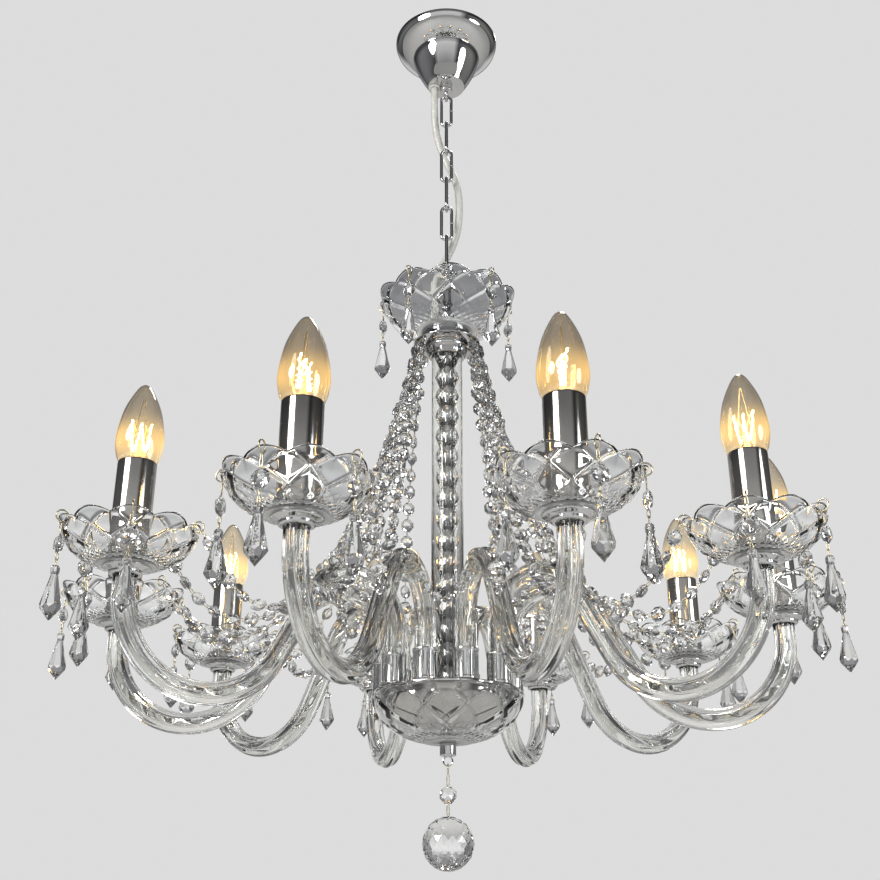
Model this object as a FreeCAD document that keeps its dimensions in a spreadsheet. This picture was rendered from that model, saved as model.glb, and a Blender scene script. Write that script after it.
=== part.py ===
import FreeCAD, Part
import math
import os
import Sketcher

# Crystal chandelier: ten glass arms on a chrome hub, hung by a chain from a ceiling canopy.
# The origin is the ceiling plane on the chandelier's axis, +Z is up, lengths are millimetres.

sizes = {
    # ceiling plate and canopy
    "bracketLength": 92, "bracketWidth": 24, "bracketThick": 2.5,
    "slotSpacing": 64, "slotLength": 14, "slotWidth": 5,
    "nippleRadius": 5, "nippleBore": 3.4, "nutFlats": 15, "nutThick": 4, "fitGap": 0.2,
    "nippleShort": 0.5,
    "canopyRadius": 50.5, "canopyLip": 3, "canopyStepRadius": 33, "canopyStepDrop": 19,
    "canopyNeckRadius": 18, "canopyDrop": 54, "canopyWall": 1.2, "canopyBulge": 60,
    "canopyConeBulge": 105,
    "blockLength": 30, "blockWidth": 14, "blockHeight": 11, "blockBore": 2, "blockWays": 3,
    # loops and chain
    "seatGap": 0.3, "stemRadius": 6, "stemLength": 6, "stemFloor": 1.5, "eyeRadius": 5, "eyeWire": 1.6,
    "linkPitch": 32.7, "linkWire": 1.5, "linkHalfWidth": 4.8, "linkCount": 6,
    # supply cable
    "cableRadius": 3.5, "cableHoleLong": 7.1, "cableHoleHalf": 4.8, "cableOffset": 11.6,
    # crown and column
    "rodRadius": 4, "rodBore": 2.6, "wireGap": 0.4, "loopStem": 9, "loopFloor": 3,
    "crownRim": 62.5, "crownFloor": 332, "crownScale": 1.25,
    "crownTurn": 23.4, "crownLedge": 3,
    "collarRadius": 23.5, "collarDrop": 12, "collarWall": 1.2, "flangeRadius": 39.5,
    "strandRing": 36, "strandHole": 1.3, "capRadius": 19, "capDrop": 12, "capStep": 7.2, "capSeat": 4.8,
    "tubeRadius": 13.5, "tubeWall": 1.8, "tubeSeat": 2,
    "stackRadius": 9.8, "stackEnd": 5.9, "stackPitch": 18, "stackGap": 0.1,
    # hub
    "hubTop": 655, "hubRadius": 58.5, "hubThick": 2.5, "socketCircle": 50.5,
    "socketRadius": 9.9, "socketHeight": 24, "socketFloor": 3, "wireHole": 2.4,
    "hubRidgeIn": 1, "hubRidgeOut": 2, "hubCollar": 3.5,
    "cupRadius": 54, "cupDepth": 29.4, "cupFloor": 20, "cupBulge": 36, "cupWall": 1.2,
    "connectorRadius": 19, "connectorDrop": 11,
    # glass arms
    "armCount": 10, "armRadius": 8.6, "armGroove": 8.0, "armBore": 4.2, "armWire": 3.8,
    "armReach": 270, "archRadius": 38, "archCentre": 610, "bendRadius": 63, "bendCentre": 615,
    # arm ends, dishes and candles
    "dishSeat": 597, "endNeckRadius": 11.8, "endNeckHeight": 4, "endRingRadius": 17,
    "endRingThick": 2, "spigotRadius": 5, "spigotHeight": 12,
    "dishRim": 50, "dishDepth": 29, "dishBase": 21, "dishBelly": 40, "dishBellyHeight": 11,
    "dishWall": 3, "dishHole": 5.4, "lobeDip": 3.0, "lobeCut": 4.0,
    "sleeveRadius": 14, "sleeveWall": 0.8, "sleeveTop": 78,
    "holderRadius": 11, "holderBore": 7.3, "holderDepth": 27, "holderStep": 2,
    "bulbRadius": 17.5, "bulbTop": 141, "bulbNeck": 8.2, "bulbWide": 24, "bulbShell": 0.8,
    "capThread": 6.9, "filamentRadius": 1.0, "filamentLength": 26, "filamentDrop": 12,
    # crystals
    "ringRadius": 4.2, "ringWire": 0.6, "holeDrop": 4.2, "holeRadius": 1.4,
    "pinRadius": 0.6, "pinLength": 9, "beadRadius": 7, "beadThick": 4, "dropLength": 38,
    "dropRadius": 7.5, "beadPitch": 17, "neckRadius": 0.9, "garlandPitch": 11, "garlandBead": 5,
    "garlandSag": 30,
    "strandFirstReach": 119.2, "strandFirstDrop": 600.1, "strandSecondReach": 171.9,
    "strandSecondDrop": 671,
    # bottom bowl, finial and ball
    "bowlRim": 61, "bowlDepth": 37, "bowlBase": 20, "bowlWall": 3,
    "finialRadius": 6.5, "finialHeight": 9, "finialFloor": 1.5, "finialBase": 1.8,
    "hookRadius": 3.6, "ballRadius": 20, "ballPin": 9,
}

doc = FreeCAD.newDocument("CrystalChandelier")
sheet = doc.addObject("Spreadsheet::Sheet", "Sizes")
for row, (alias, number) in enumerate(sizes.items(), start=1):
    sheet.set("A%d" % row, alias)
    sheet.set("B%d" % row, str(number))
    sheet.setAlias("B%d" % row, alias)
doc.recompute()

nodes = {}                                     # label of each piece -> its document object
UP = FreeCAD.Vector(0, 0, 1)
ORIGIN = FreeCAD.Vector(0, 0, 0)


def bound(text):
    """Turn sheet aliases in an expression into references to the sheet."""
    words = []
    word = ""
    for letter in text + " ":
        if letter.isalnum():
            word += letter
            continue
        words.append("Sizes." + word if word in sizes else word)
        words.append(letter)
        word = ""
    return "".join(words).strip()


def value(text):
    """The number that an expression on the sheet's aliases gives."""
    found = sheet.evalExpression(bound(text))
    return float(getattr(found, "Value", found))


def at(x, y, z):
    return FreeCAD.Vector(x, y, z)


def polar(radius, degrees, z):
    turn = math.radians(degrees)
    return at(radius * math.cos(turn), radius * math.sin(turn), z)


def piece(label, shape, height="0"):
    """A piece with its own worked-out shape, seated at a height above its datum."""
    feature = doc.addObject("Part::Feature", label)
    feature.Label = label
    feature.Shape = shape
    raised = FreeCAD.Placement(at(0, 0, value(height)), FreeCAD.Rotation())
    feature.Placement = raised.multiply(shape.Placement)
    nodes[label] = feature
    return feature


def placed(shape, position, degrees=0):
    """A copy of a shape turned about the vertical and moved to a position."""
    copy = shape.copy()
    copy.Placement = FreeCAD.Placement(position, FreeCAD.Rotation(UP, degrees)).multiply(copy.Placement)
    return copy


def lathe(label, corners, height="0", keep=True):
    """A turned piece: a closed profile of (radius, height) corners revolved about the axis.

    A corner with a third entry is reached along an arc of that radius, whose centre lies to the
    left of the way there, or to the right where a fourth entry says so.
    """
    body = doc.addObject("PartDesign::Body", label)
    sketch = body.newObject("Sketcher::SketchObject", label + "_profile")
    plane = [item for item in body.Origin.OriginFeatures if item.Role == "XZ_Plane"][0]
    sketch.AttachmentSupport = [(plane, "")]
    sketch.MapMode = "FlatFace"
    spots = [at(value(corner[0]), value(corner[1]), 0) for corner in corners]
    count = len(corners)
    for index in range(count):
        start, end = spots[index], spots[(index + 1) % count]
        corner = corners[(index + 1) % count]
        if len(corner) > 2:
            chord = end - start
            radius = value(corner[2])
            rise = math.sqrt(radius ** 2 - (chord.Length / 2) ** 2)
            side = -1 if len(corner) > 3 else 1
            left = at(-chord.y, chord.x, 0) / chord.Length * side
            centre = (start + end) / 2 + left * rise
            angles = [math.atan2(spot.y - centre.y, spot.x - centre.x) for spot in (start, end)]
            if side < 0:
                angles.reverse()
            if angles[1] < angles[0]:
                angles[1] += 2 * math.pi
            sketch.addGeometry(Part.ArcOfCircle(Part.Circle(centre, UP, radius), *angles), False)
        else:
            sketch.addGeometry(Part.LineSegment(start, end), False)
    for index in range(count):
        line = sketch.Geometry[index]
        begins = 1 if line.StartPoint.distanceToPoint(spots[index]) < 0.001 else 2
        follower = (index + 1) % count
        ahead = sketch.Geometry[follower]
        meets = 1 if ahead.StartPoint.distanceToPoint(spots[follower]) < 0.001 else 2
        sketch.addConstraint(Sketcher.Constraint("Coincident", index, 3 - begins, follower, meets))
        for kind, place, text in (("DistanceX", spots[index].x, corners[index][0]),
                                  ("DistanceY", spots[index].y, corners[index][1])):
            if abs(place) < 0.000001 and text == "0":
                axis = -2 if kind == "DistanceX" else -1
                sketch.addConstraint(Sketcher.Constraint("PointOnObject", index, begins, axis))
                continue
            number = sketch.addConstraint(Sketcher.Constraint(kind, -1, 1, index, begins, place))
            sketch.setExpression("Constraints[%d]" % number, bound(text))
        corner = corners[follower]
        if len(corner) > 2:
            number = sketch.addConstraint(Sketcher.Constraint("Radius", index, value(corner[2])))
            sketch.setExpression("Constraints[%d]" % number, bound(corner[2]))
    turned = body.newObject("PartDesign::Revolution", label + "_turned")
    turned.Profile = sketch
    turned.ReferenceAxis = (sketch, ["V_Axis"])
    turned.Angle = 360
    body.Label = label
    body.setExpression("Placement.Base.z", bound(height))
    doc.recompute()
    if keep:
        nodes[label] = body
    return body


def tube(label, outer, inner, length, height):
    """A straight pipe standing at a height."""
    wall = doc.addObject("Part::Cylinder", label + "_outside")
    wall.setExpression("Radius", bound(outer))
    wall.setExpression("Height", bound(length))
    bore = doc.addObject("Part::Cylinder", label + "_bore")
    bore.setExpression("Radius", bound(inner))
    bore.setExpression("Height", bound(length))
    pipe = doc.addObject("Part::Cut", label)
    pipe.Base = wall
    pipe.Tool = bore
    pipe.Label = label
    pipe.setExpression("Placement.Base.z", bound(height))
    doc.recompute()
    nodes[label] = pipe
    return pipe


def facets(rings, closed):
    """A solid of flat facets through rings of points.

    Rings with equal counts are joined by triangles. A ring of one point is a tip. Where closed is
    true the last ring joins the first, as on a bowl with a hole in its floor.
    """
    points = []
    starts = []
    for ring in rings:
        starts.append(len(points))
        points.extend(ring)
    triangles = []
    pairs = list(zip(range(len(rings) - 1), range(1, len(rings))))
    if closed:
        pairs.append((len(rings) - 1, 0))
    for low, high in pairs:
        count = max(len(rings[low]), len(rings[high]))
        for index in range(count):
            after = (index + 1) % count
            a = starts[low] + index % len(rings[low])
            b = starts[low] + after % len(rings[low])
            c = starts[high] + after % len(rings[high])
            d = starts[high] + index % len(rings[high])
            if a != b:
                triangles.append((a, b, c))
            if c != d:
                triangles.append((a, c, d))
    shell = Part.Shape()
    shell.makeShapeFromMesh((points, triangles), 0.001)
    solid = Part.Solid(Part.Shell(shell.Faces))
    if solid.Volume < 0:
        solid.reverse()
    return solid


def ring_points(radius, z, count, turn=0.0, dip=0.0, cut=0.0):
    """Points of one ring: every second one may be drawn in by dip and lowered by cut."""
    spots = []
    for index in range(count):
        valley = index % 2
        spots.append(polar(radius - dip * valley, 360.0 * (index + turn) / count, z - cut * valley))
    return spots


def wire_loop(radius, wire):
    """A round wire ring that stands in the XZ plane about its own centre."""
    return Part.makeTorus(radius, wire, ORIGIN, at(0, 1, 0))


# ---------------------------------------------------------------- ceiling

def make_bracket():
    """A steel bar across the ceiling box with a slot for a screw at each end."""
    bar = doc.addObject("Part::Box", "bracket_bar")
    bar.setExpression("Length", bound("bracketLength"))
    bar.setExpression("Width", bound("bracketWidth"))
    bar.setExpression("Height", bound("bracketThick"))
    bar.setExpression("Placement.Base.x", bound("-bracketLength / 2"))
    bar.setExpression("Placement.Base.y", bound("-bracketWidth / 2"))
    bar.setExpression("Placement.Base.z", bound("-bracketThick"))
    doc.recompute()
    thick = value("bracketThick")
    half = value("slotLength / 2 - slotWidth / 2")
    width = value("slotWidth")
    holes = [Part.makeCylinder(value("nippleRadius + fitGap"), thick, at(0, 0, -thick))]
    for side in (-1, 1):
        middle = side * value("slotSpacing / 2")
        holes.append(Part.makeBox(2 * half, width, thick, at(middle - half, -width / 2, -thick)))
        for end in (-half, half):
            holes.append(Part.makeCylinder(width / 2, thick, at(middle + end, 0, -thick)))
    cutter = doc.addObject("Part::Feature", "bracket_holes")
    cutter.Shape = holes[0].multiFuse(holes[1:])
    plate = doc.addObject("Part::Cut", "ceiling_bracket")
    plate.Base = bar
    plate.Tool = cutter
    plate.Label = "ceiling_bracket"
    nodes["ceiling_bracket"] = plate


def make_lock_nut():
    """A thin hexagon nut that holds the threaded nipple under the bracket."""
    flats = value("nutFlats")
    corners = [polar(flats / math.sqrt(3), 60 * index, 0) for index in range(7)]
    block = Part.Face(Part.makePolygon(corners)).extrude(UP * value("nutThick"))
    hole = Part.makeCylinder(value("nippleRadius + fitGap"), value("nutThick"))
    piece("lock_nut", block.cut(hole), "-bracketThick - nutThick")


def make_canopy():
    """A spun chrome cup, open to the ceiling, with a stepped bell and an oblong cable hole."""
    shell = lathe("canopy_shell", [
        ("canopyRadius", "0"),
        ("canopyRadius - canopyWall", "0"),
        ("canopyRadius - canopyWall", "-canopyLip"),
        ("canopyStepRadius - canopyWall", "canopyWall - canopyStepDrop", "canopyBulge", "right"),
        ("canopyNeckRadius - canopyWall", "canopyWall - canopyDrop", "canopyConeBulge", "right"),
        ("nippleRadius + fitGap", "canopyWall - canopyDrop"),
        ("nippleRadius + fitGap", "-canopyDrop"),
        ("canopyNeckRadius", "-canopyDrop"),
        ("canopyStepRadius", "-canopyStepDrop", "canopyConeBulge"),
        ("canopyRadius", "-canopyLip", "canopyBulge"),
    ], keep=False)
    half = value("cableHoleHalf")
    reach = value("cableHoleLong") - half
    offset = -value("cableOffset")
    floor = -value("canopyDrop") - 1
    tall = value("canopyWall") + 2
    slot = Part.makeBox(2 * half, 2 * reach, tall, at(offset - half, -reach, floor))
    for side in (-reach, reach):
        slot = slot.fuse(Part.makeCylinder(half, tall, at(offset, side, floor)))
    hole = doc.addObject("Part::Feature", "canopy_cable_hole")
    hole.Shape = slot.removeSplitter()
    canopy = doc.addObject("Part::Cut", "canopy")
    canopy.Base = shell
    canopy.Tool = hole
    canopy.Label = "canopy"
    nodes["canopy"] = canopy


def make_ceiling_group():
    make_bracket()
    tube("threaded_nipple", "nippleRadius", "nippleBore",
         "canopyDrop + stemLength - stemFloor - nippleShort",
         "-canopyDrop - stemLength + stemFloor + nippleShort")
    make_lock_nut()
    block = Part.makeBox(value("blockLength"), value("blockWidth"), value("blockHeight"))
    ways = int(value("blockWays"))
    for index in range(ways):
        mouth = at(value("blockLength") * (index + 0.5) / ways, 0, value("blockHeight / 2"))
        block = block.cut(Part.makeCylinder(value("blockBore"), value("blockWidth"), mouth, at(0, 1, 0)))
    block.translate(at(-value("blockLength / 2"), value("nutFlats") / math.sqrt(3) + value("seatGap"), 0))
    piece("terminal_block", block, "-bracketThick - seatGap - blockHeight")
    make_canopy()


# ---------------------------------------------------------------- chain and cable

def chain_link():
    """A long oval link in the XZ plane, hung from the centre of its top bend."""
    half, wire = value("linkHalfWidth"), value("linkWire")
    length = value("linkPitch + linkWire * 2 + seatGap")
    top, low = at(0, 0, -half), at(0, 0, half - length)
    path = Part.Wire([
        Part.Arc(top + at(-half, 0, 0), at(0, 0, 0), top + at(half, 0, 0)).toShape(),
        Part.LineSegment(top + at(half, 0, 0), low + at(half, 0, 0)).toShape(),
        Part.Arc(low + at(half, 0, 0), at(0, 0, -length), low + at(-half, 0, 0)).toShape(),
        Part.LineSegment(low + at(-half, 0, 0), top + at(-half, 0, 0)).toShape(),
    ])
    section = Part.Wire(Part.Circle(top + at(-half, 0, 0), UP, wire).toShape())
    return path.makePipeShell([section], True, True)


def eye_piece(stem_length, bore_depth):
    """A threaded stem with a wire eye under it, in the YZ plane; the stem's top is at zero."""
    drop = stem_length + value("eyeRadius - eyeWire / 2")
    stem = Part.makeCylinder(value("stemRadius"), stem_length, at(0, 0, -stem_length))
    bore = Part.makeCylinder(value("nippleRadius + fitGap"), bore_depth, at(0, 0, -bore_depth))
    eye = placed(wire_loop(value("eyeRadius"), value("eyeWire")), at(0, 0, -drop), 90)
    return stem.cut(bore).fuse(eye), drop + value("eyeRadius")


def make_chain():
    """The canopy's eye, six links turned in turn, and the eye on the centre rod."""
    eye, drop = eye_piece(value("stemLength"), value("stemLength - stemFloor"))
    piece("canopy_eye", eye, "-canopyDrop")
    top = -value("canopyDrop") - drop + value("eyeWire + linkWire + seatGap")
    links = []
    link = chain_link()
    for index in range(int(value("linkCount"))):
        links.append(placed(link, at(0, 0, top - index * value("linkPitch")), 90 * (index % 2)))
    piece("chain_top_link", links[0])
    piece("chain_links", Part.makeCompound(links[1:]))
    bottom = top - value("linkPitch * linkCount + linkWire * 2 + seatGap")
    centre = bottom + value("linkWire + eyeWire + seatGap") - value("eyeRadius")
    stem = Part.makeCylinder(value("stemRadius"), value("loopStem"), at(0, 0, -value("loopStem")))
    bore = Part.makeCylinder(value("rodRadius + fitGap"), value("loopStem - loopFloor"),
                             at(0, 0, -value("loopStem")))
    loop = wire_loop(value("eyeRadius"), value("eyeWire"))
    loop.translate(at(0, 0, value("eyeRadius - eyeWire / 2")))
    stem_top = centre - value("eyeRadius - eyeWire / 2")
    piece("rod_loop", stem.cut(bore).fuse(loop), "%.6f" % stem_top)
    return stem_top - value("loopFloor + seatGap")


cable_route = [                                # points of the cable, in millimetres
    (-11.6, 0, -44), (-11.5, 0.6, -64), (-12.0, 2.5, -84), (-10.5, 7.5, -104), (-5.0, 12.3, -124),
    (3.0, 13.2, -143), (9.3, 9.8, -162), (11.8, 5.2, -182), (12.2, 4.5, -203), (9.4, 8.6, -222),
    (2.8, 12.9, -239), (-5.6, 12.3, -255), (-10.8, 7.6, -272), (-11.4, 3.2, -290), (-10.0, 1.0, -308),
    (-9.3, 1.8, -326), (-9.6, 1.2, -343.7),
]


def make_cable():
    """The white supply cable: straight runs joined by tangent arcs, woven down the chain."""
    spots = [at(*spot) for spot in cable_route]
    edges, start, radii = [], spots[0], []
    for index in range(1, len(spots) - 1):
        before, here, after = spots[index - 1], spots[index], spots[index + 1]
        back, ahead = before - here, after - here
        turn = math.pi - back.getAngle(ahead)
        trim = 0.45 * min(back.Length, ahead.Length)
        radii.append(trim / math.tan(turn / 2))
        back.normalize()
        ahead.normalize()
        enter, leave = here + back * trim, here + ahead * trim
        half = (back + ahead)
        half.normalize()
        reach = radii[-1] / math.cos(turn / 2) - radii[-1]
        edges.append(Part.LineSegment(start, enter).toShape())
        edges.append(Part.Arc(enter, here + half * reach, leave).toShape())
        start = leave
    edges.append(Part.LineSegment(start, spots[-1]).toShape())
    path = Part.Wire(edges)
    heading = spots[1] - spots[0]
    section = Part.Wire(Part.Circle(spots[0], heading, value("cableRadius")).toShape())
    cable = path.makePipeShell([section], True, False)
    print("cable radii", [round(radius) for radius in radii], "length", round(path.Length, 1),
          "volume share", round(cable.Volume / (math.pi * value("cableRadius") ** 2 * path.Length), 4))
    piece("supply_cable", cable)


# ---------------------------------------------------------------- crown and column

def cut_glass_dish(rim, base, belly, depth, belly_height, wall, hole, pins):
    """A cut glass bowl: lobed rim, diamond facets on its wall, and small holes near its rim."""
    dip, cut = value("lobeDip"), value("lobeCut")
    count = 2 * int(value("armCount"))
    rings = [
        ring_points(hole, 0, count),
        ring_points(base, 0, count),
        ring_points(belly, belly_height, count, 0.5),
        ring_points(rim, depth, count, 0, dip, cut),
        ring_points(rim - wall, depth, count, 0, dip, cut),
        ring_points(belly - wall, belly_height + wall * 0.4, count, 0.5),
        ring_points(base - wall * 0.4, wall, count),
        ring_points(hole, wall, count),
    ]
    dish = facets(rings, True)
    (radius, height), slant, _ = rim_hole(rim, belly, depth, belly_height)
    for degrees in pins:
        middle = polar(radius, degrees, height)
        across = polar(math.sin(slant), degrees, -math.cos(slant))
        drill = Part.makeCylinder(value("holeRadius"), 3 * wall, middle - across * 1.5 * wall, across)
        dish = dish.cut(drill)
    return dish


def rim_hole(rim, belly, depth, belly_height):
    """The hole near a dish's rim, the slope of the wall there, and the centre of its wire ring.

    The hole is square to the wall and halfway through it. The ring passes the hole and goes
    round over the rim, so its centre lies up the wall from the hole.
    """
    flat_belly = belly * math.cos(math.pi / (2 * value("armCount")))
    slant = math.atan2(depth - belly_height, rim - flat_belly)
    share = value("holeDrop") / (depth - belly_height)
    radius = rim - share * (rim - flat_belly) - value("dishWall") / 2
    height = depth - value("holeDrop")
    reach = value("ringRadius")
    centre = (radius + reach * math.cos(slant), height + reach * math.sin(slant))
    return (radius, height), slant, centre


def dish_hole():
    return rim_hole(value("dishRim"), value("dishBelly"), value("dishDepth"), value("dishBellyHeight"))


def crown_hole():
    scale = value("crownScale")
    return rim_hole(value("crownRim"), value("dishBelly") * scale, value("dishDepth") * scale,
                    value("dishBellyHeight") * scale)


def make_crown():
    """The crown dish, its collar with a drilled flange, the column cap and the glass column."""
    scale = value("crownScale")
    rim, depth = value("crownRim"), value("dishDepth * crownScale")
    pins = range(0, 360, 72)
    dish = cut_glass_dish(rim, value("dishBase") * scale, value("dishBelly") * scale, depth,
                          value("dishBellyHeight") * scale, value("dishWall"),
                          value("capRadius - crownLedge"), pins)
    piece("crown_dish", placed(dish, ORIGIN, value("crownTurn")), "-crownFloor")
    collar = lathe("collar_turned", [
        ("rodRadius + fitGap", "-collarDrop - collarWall"),
        ("flangeRadius", "-collarDrop - collarWall"),
        ("flangeRadius", "-collarDrop"),
        ("collarRadius", "-collarDrop"),
        ("collarRadius", "0"),
        ("collarRadius - collarWall", "0"),
        ("collarRadius - collarWall", "-collarDrop"),
        ("rodRadius + fitGap", "-collarDrop"),
    ], "-crownFloor", keep=False)
    holes = []
    low = value("-crownFloor - collarDrop - collarWall") - 1
    for index in range(2 * int(value("armCount"))):
        turn = 180.0 * (index + 0.5) / value("armCount")
        spot = polar(value("strandRing"), turn, low)
        holes.append(Part.makeCylinder(value("strandHole"), value("collarWall") + 2, spot))
    cutter = doc.addObject("Part::Feature", "collar_holes")
    cutter.Shape = Part.makeCompound(holes)
    drilled = doc.addObject("Part::Cut", "crown_collar")
    drilled.Base = collar
    drilled.Tool = cutter
    drilled.Label = "crown_collar"
    nodes["crown_collar"] = drilled
    lathe("column_cap", [
        ("rodRadius + fitGap", "0"),
        ("capRadius", "0"),
        ("capRadius", "-capStep"),
        ("tubeRadius + fitGap + tubeSeat", "-capDrop"),
        ("tubeRadius + fitGap", "-capDrop"),
        ("tubeRadius + fitGap", "-capSeat"),
        ("rodRadius + fitGap", "-capSeat"),
    ], "-crownFloor - collarDrop - collarWall")
    tube("column_tube", "tubeRadius", "tubeRadius - tubeWall",
         "hubTop - tubeSeat - crownFloor - collarDrop - collarWall - capSeat",
         "-hubTop + tubeSeat")


def make_column_beads():
    """Faceted glass beads stacked on the rod inside the column."""
    low = value("-hubTop + tubeSeat + seatGap")
    high = value("-crownFloor - collarDrop - collarWall - capSeat - seatGap")
    count = int((high - low) // value("stackPitch"))
    tall = (high - low) / count
    radius, end = value("stackRadius"), value("stackEnd")
    bore = value("rodRadius + wireGap") / math.cos(math.pi / 8)
    beads = []
    for index in range(count):
        foot = low + index * tall
        head = foot + tall - value("stackGap")
        rings = [
            ring_points(bore, foot, 8), ring_points(end, foot, 8),
            ring_points(radius, (foot + head) / 2, 8, 0.5), ring_points(end, head, 8),
            ring_points(bore, head, 8),
        ]
        beads.append(facets(rings, True))
    piece("column_beads", Part.makeCompound(beads))


def make_rod(top):
    """The hollow rod that carries everything, and the wires inside it."""
    bottom = value("-hubTop - hubThick - bowlDepth - finialHeight + finialFloor")
    height = "%.6f" % bottom
    length = "%.6f" % (top - bottom)
    tube("centre_rod", "rodRadius", "rodBore", length, height)
    wires = doc.addObject("Part::Cylinder", "rod_wires")
    wires.setExpression("Radius", bound("rodBore - wireGap"))
    wires.setExpression("Height", bound("hubTop + hubThick + cupDepth - crownFloor"))
    wires.setExpression("Placement.Base.z", bound("-hubTop - hubThick - cupDepth"))
    wires.Label = "rod_wires"
    nodes["rod_wires"] = wires


# ---------------------------------------------------------------- hub and bottom

def make_hub():
    """The chrome hub plate with a hole under each arm socket, the sockets and the wiring cup."""
    plate = lathe("hub_turned", [
        ("rodRadius + fitGap", "0"),
        ("tubeRadius - tubeWall - hubRidgeIn", "0"),
        ("tubeRadius - tubeWall - hubRidgeIn", "tubeSeat - seatGap"),
        ("tubeRadius + hubRidgeOut", "tubeSeat - seatGap"),
        ("tubeRadius + hubCollar", "0"),
        ("hubRadius", "0"),
        ("hubRadius", "-hubThick"),
        ("rodRadius + fitGap", "-hubThick"),
    ], "-hubTop", keep=False)
    count = int(value("armCount"))
    low = value("-hubTop - hubThick") - 1
    holes = [Part.makeCylinder(value("wireHole"), value("hubThick") + 2,
                               polar(value("socketCircle"), 360.0 * index / count, low))
             for index in range(count)]
    cutter = doc.addObject("Part::Feature", "hub_holes")
    cutter.Shape = Part.makeCompound(holes)
    drilled = doc.addObject("Part::Cut", "hub_plate")
    drilled.Base = plate
    drilled.Tool = cutter
    drilled.Label = "hub_plate"
    nodes["hub_plate"] = drilled
    socket = lathe("socket_turned", [
        ("wireHole", "0"),
        ("socketRadius", "0"),
        ("socketRadius", "socketHeight"),
        ("armRadius + fitGap", "socketHeight"),
        ("armRadius + fitGap", "socketFloor"),
        ("wireHole", "socketFloor"),
    ], keep=False)
    copies = [placed(socket.Shape, polar(value("socketCircle"), 360.0 * index / count, 0), 0)
              for index in range(count)]
    piece("arm_sockets", Part.makeCompound(copies), "-hubTop")
    lathe("wiring_cup", [
        ("rodRadius + fitGap", "-cupDepth"),
        ("cupFloor", "-cupDepth"),
        ("cupRadius", "0", "cupBulge"),
        ("cupRadius - cupWall", "0"),
        ("cupFloor", "cupWall - cupDepth", "cupBulge - cupWall", "right"),
        ("rodRadius + fitGap", "cupWall - cupDepth"),
    ], "-hubTop - hubThick")
    lathe("wire_connector", [
        ("rodRadius + fitGap", "0"),
        ("connectorRadius", "0"),
        ("connectorRadius", "-connectorDrop"),
        ("rodRadius + fitGap", "-connectorDrop"),
    ], "-hubTop - hubThick")


def make_bottom():
    """The cut glass bowl under the hub, the finial nut with its eye, and the hanging ball."""
    rim, depth, wall, base = (value(name) for name in ("bowlRim", "bowlDepth", "bowlWall", "bowlBase"))
    count = 2 * int(value("armCount"))
    hole = value("rodRadius + fitGap") / math.cos(math.pi / count)
    rings = [
        ring_points(hole, 0, count),
        ring_points(base, 0, count),
        ring_points(rim * 0.8, depth * 0.3, count, 0.5),
        ring_points(rim, depth, count, 0),
        ring_points(rim - wall, depth, count, 0),
        ring_points(rim * 0.8 - wall, depth * 0.3 + wall * 0.4, count, 0.5),
        ring_points(base, wall, count),
        ring_points(hole, wall, count),
    ]
    piece("bottom_bowl", facets(rings, True), "-hubTop - hubThick - bowlDepth")
    finial = lathe("finial_nut", [
        ("0", "finialFloor"), ("0", "-finialBase"),
        ("finialRadius - 1", "-finialBase"),
        ("finialRadius", "1 - finialBase"),
        ("finialRadius", "finialHeight"),
        ("rodRadius + fitGap", "finialHeight"),
        ("rodRadius + fitGap", "finialFloor"),
    ], "-hubTop - hubThick - bowlDepth - finialHeight", keep=False)
    eye_drop = value("hookRadius - pinRadius")
    eye = wire_loop(value("hookRadius"), value("ringWire"))
    eye.translate(at(0, 0, finial.Placement.Base.z - value("finialBase") - eye_drop))
    piece("finial", finial.Shape.fuse(eye))
    pivot = finial.Placement.Base.z - value("finialBase") - eye_drop - value("hookRadius")
    ring = placed(wire_loop(value("hookRadius"), value("ringWire")), at(0, 0, 0), 90)
    parts, low = crystal_chain(-value("hookRadius"), [value("beadRadius")])
    pin = value("ballPin")
    parts.append(Part.makeCylinder(value("pinRadius"), pin, at(0, 0, low - pin)))
    centre = low - pin - value("ballRadius")
    parts.append(crystal_ball(centre))
    hung = "%.6f" % (pivot + value("ringWire * 2 + seatGap - hookRadius"))
    piece("ball_ring", ring, hung)
    piece("ball_bead", Part.makeCompound(parts[:-1]), hung)
    piece("crystal_ball", parts[-1], hung)
    return pivot


def crystal_ball(centre):
    """A round ball cut with rows of flat facets."""
    radius = value("ballRadius")
    rows, count = 8, 12
    rings = [[at(0, 0, centre - radius)]]
    for row in range(1, rows):
        slope = math.pi * (row / rows - 0.5)
        rings.append(ring_points(radius * math.cos(slope), centre + radius * math.sin(slope), count,
                                 0.5 * (row % 2)))
    rings.append([at(0, 0, centre + radius)])
    return facets(rings, False)


# ---------------------------------------------------------------- crystals

def octagon_bead(top, radius, thick):
    """A flat eight-sided bead standing in the YZ plane, cut to a point on each face."""
    rim = []
    for index in range(8):
        turn = math.radians(45 * index + 22.5)
        rim.append(at(0, radius * math.cos(turn), top - radius + radius * math.sin(turn)))
    front, back = [at(thick, 0, top - radius)], [at(-thick, 0, top - radius)]
    return facets([front, rim, back], False)


def crystal_chain(top, radii):
    """Pins and octagon beads hung in a row from a height; gives the pieces and the lowest height."""
    parts = []
    low = top - value("ringWire")
    flat = math.cos(math.radians(22.5))
    for radius in radii:
        pin = value("pinLength")
        parts.append(Part.makeCylinder(value("pinRadius"), pin, at(0, 0, low - pin)))
        bead = octagon_bead(low - pin + radius * (1 - flat), radius, value("beadThick"))
        parts.append(bead)
        low = low - pin - 2 * radius * flat
    return parts, low


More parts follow.
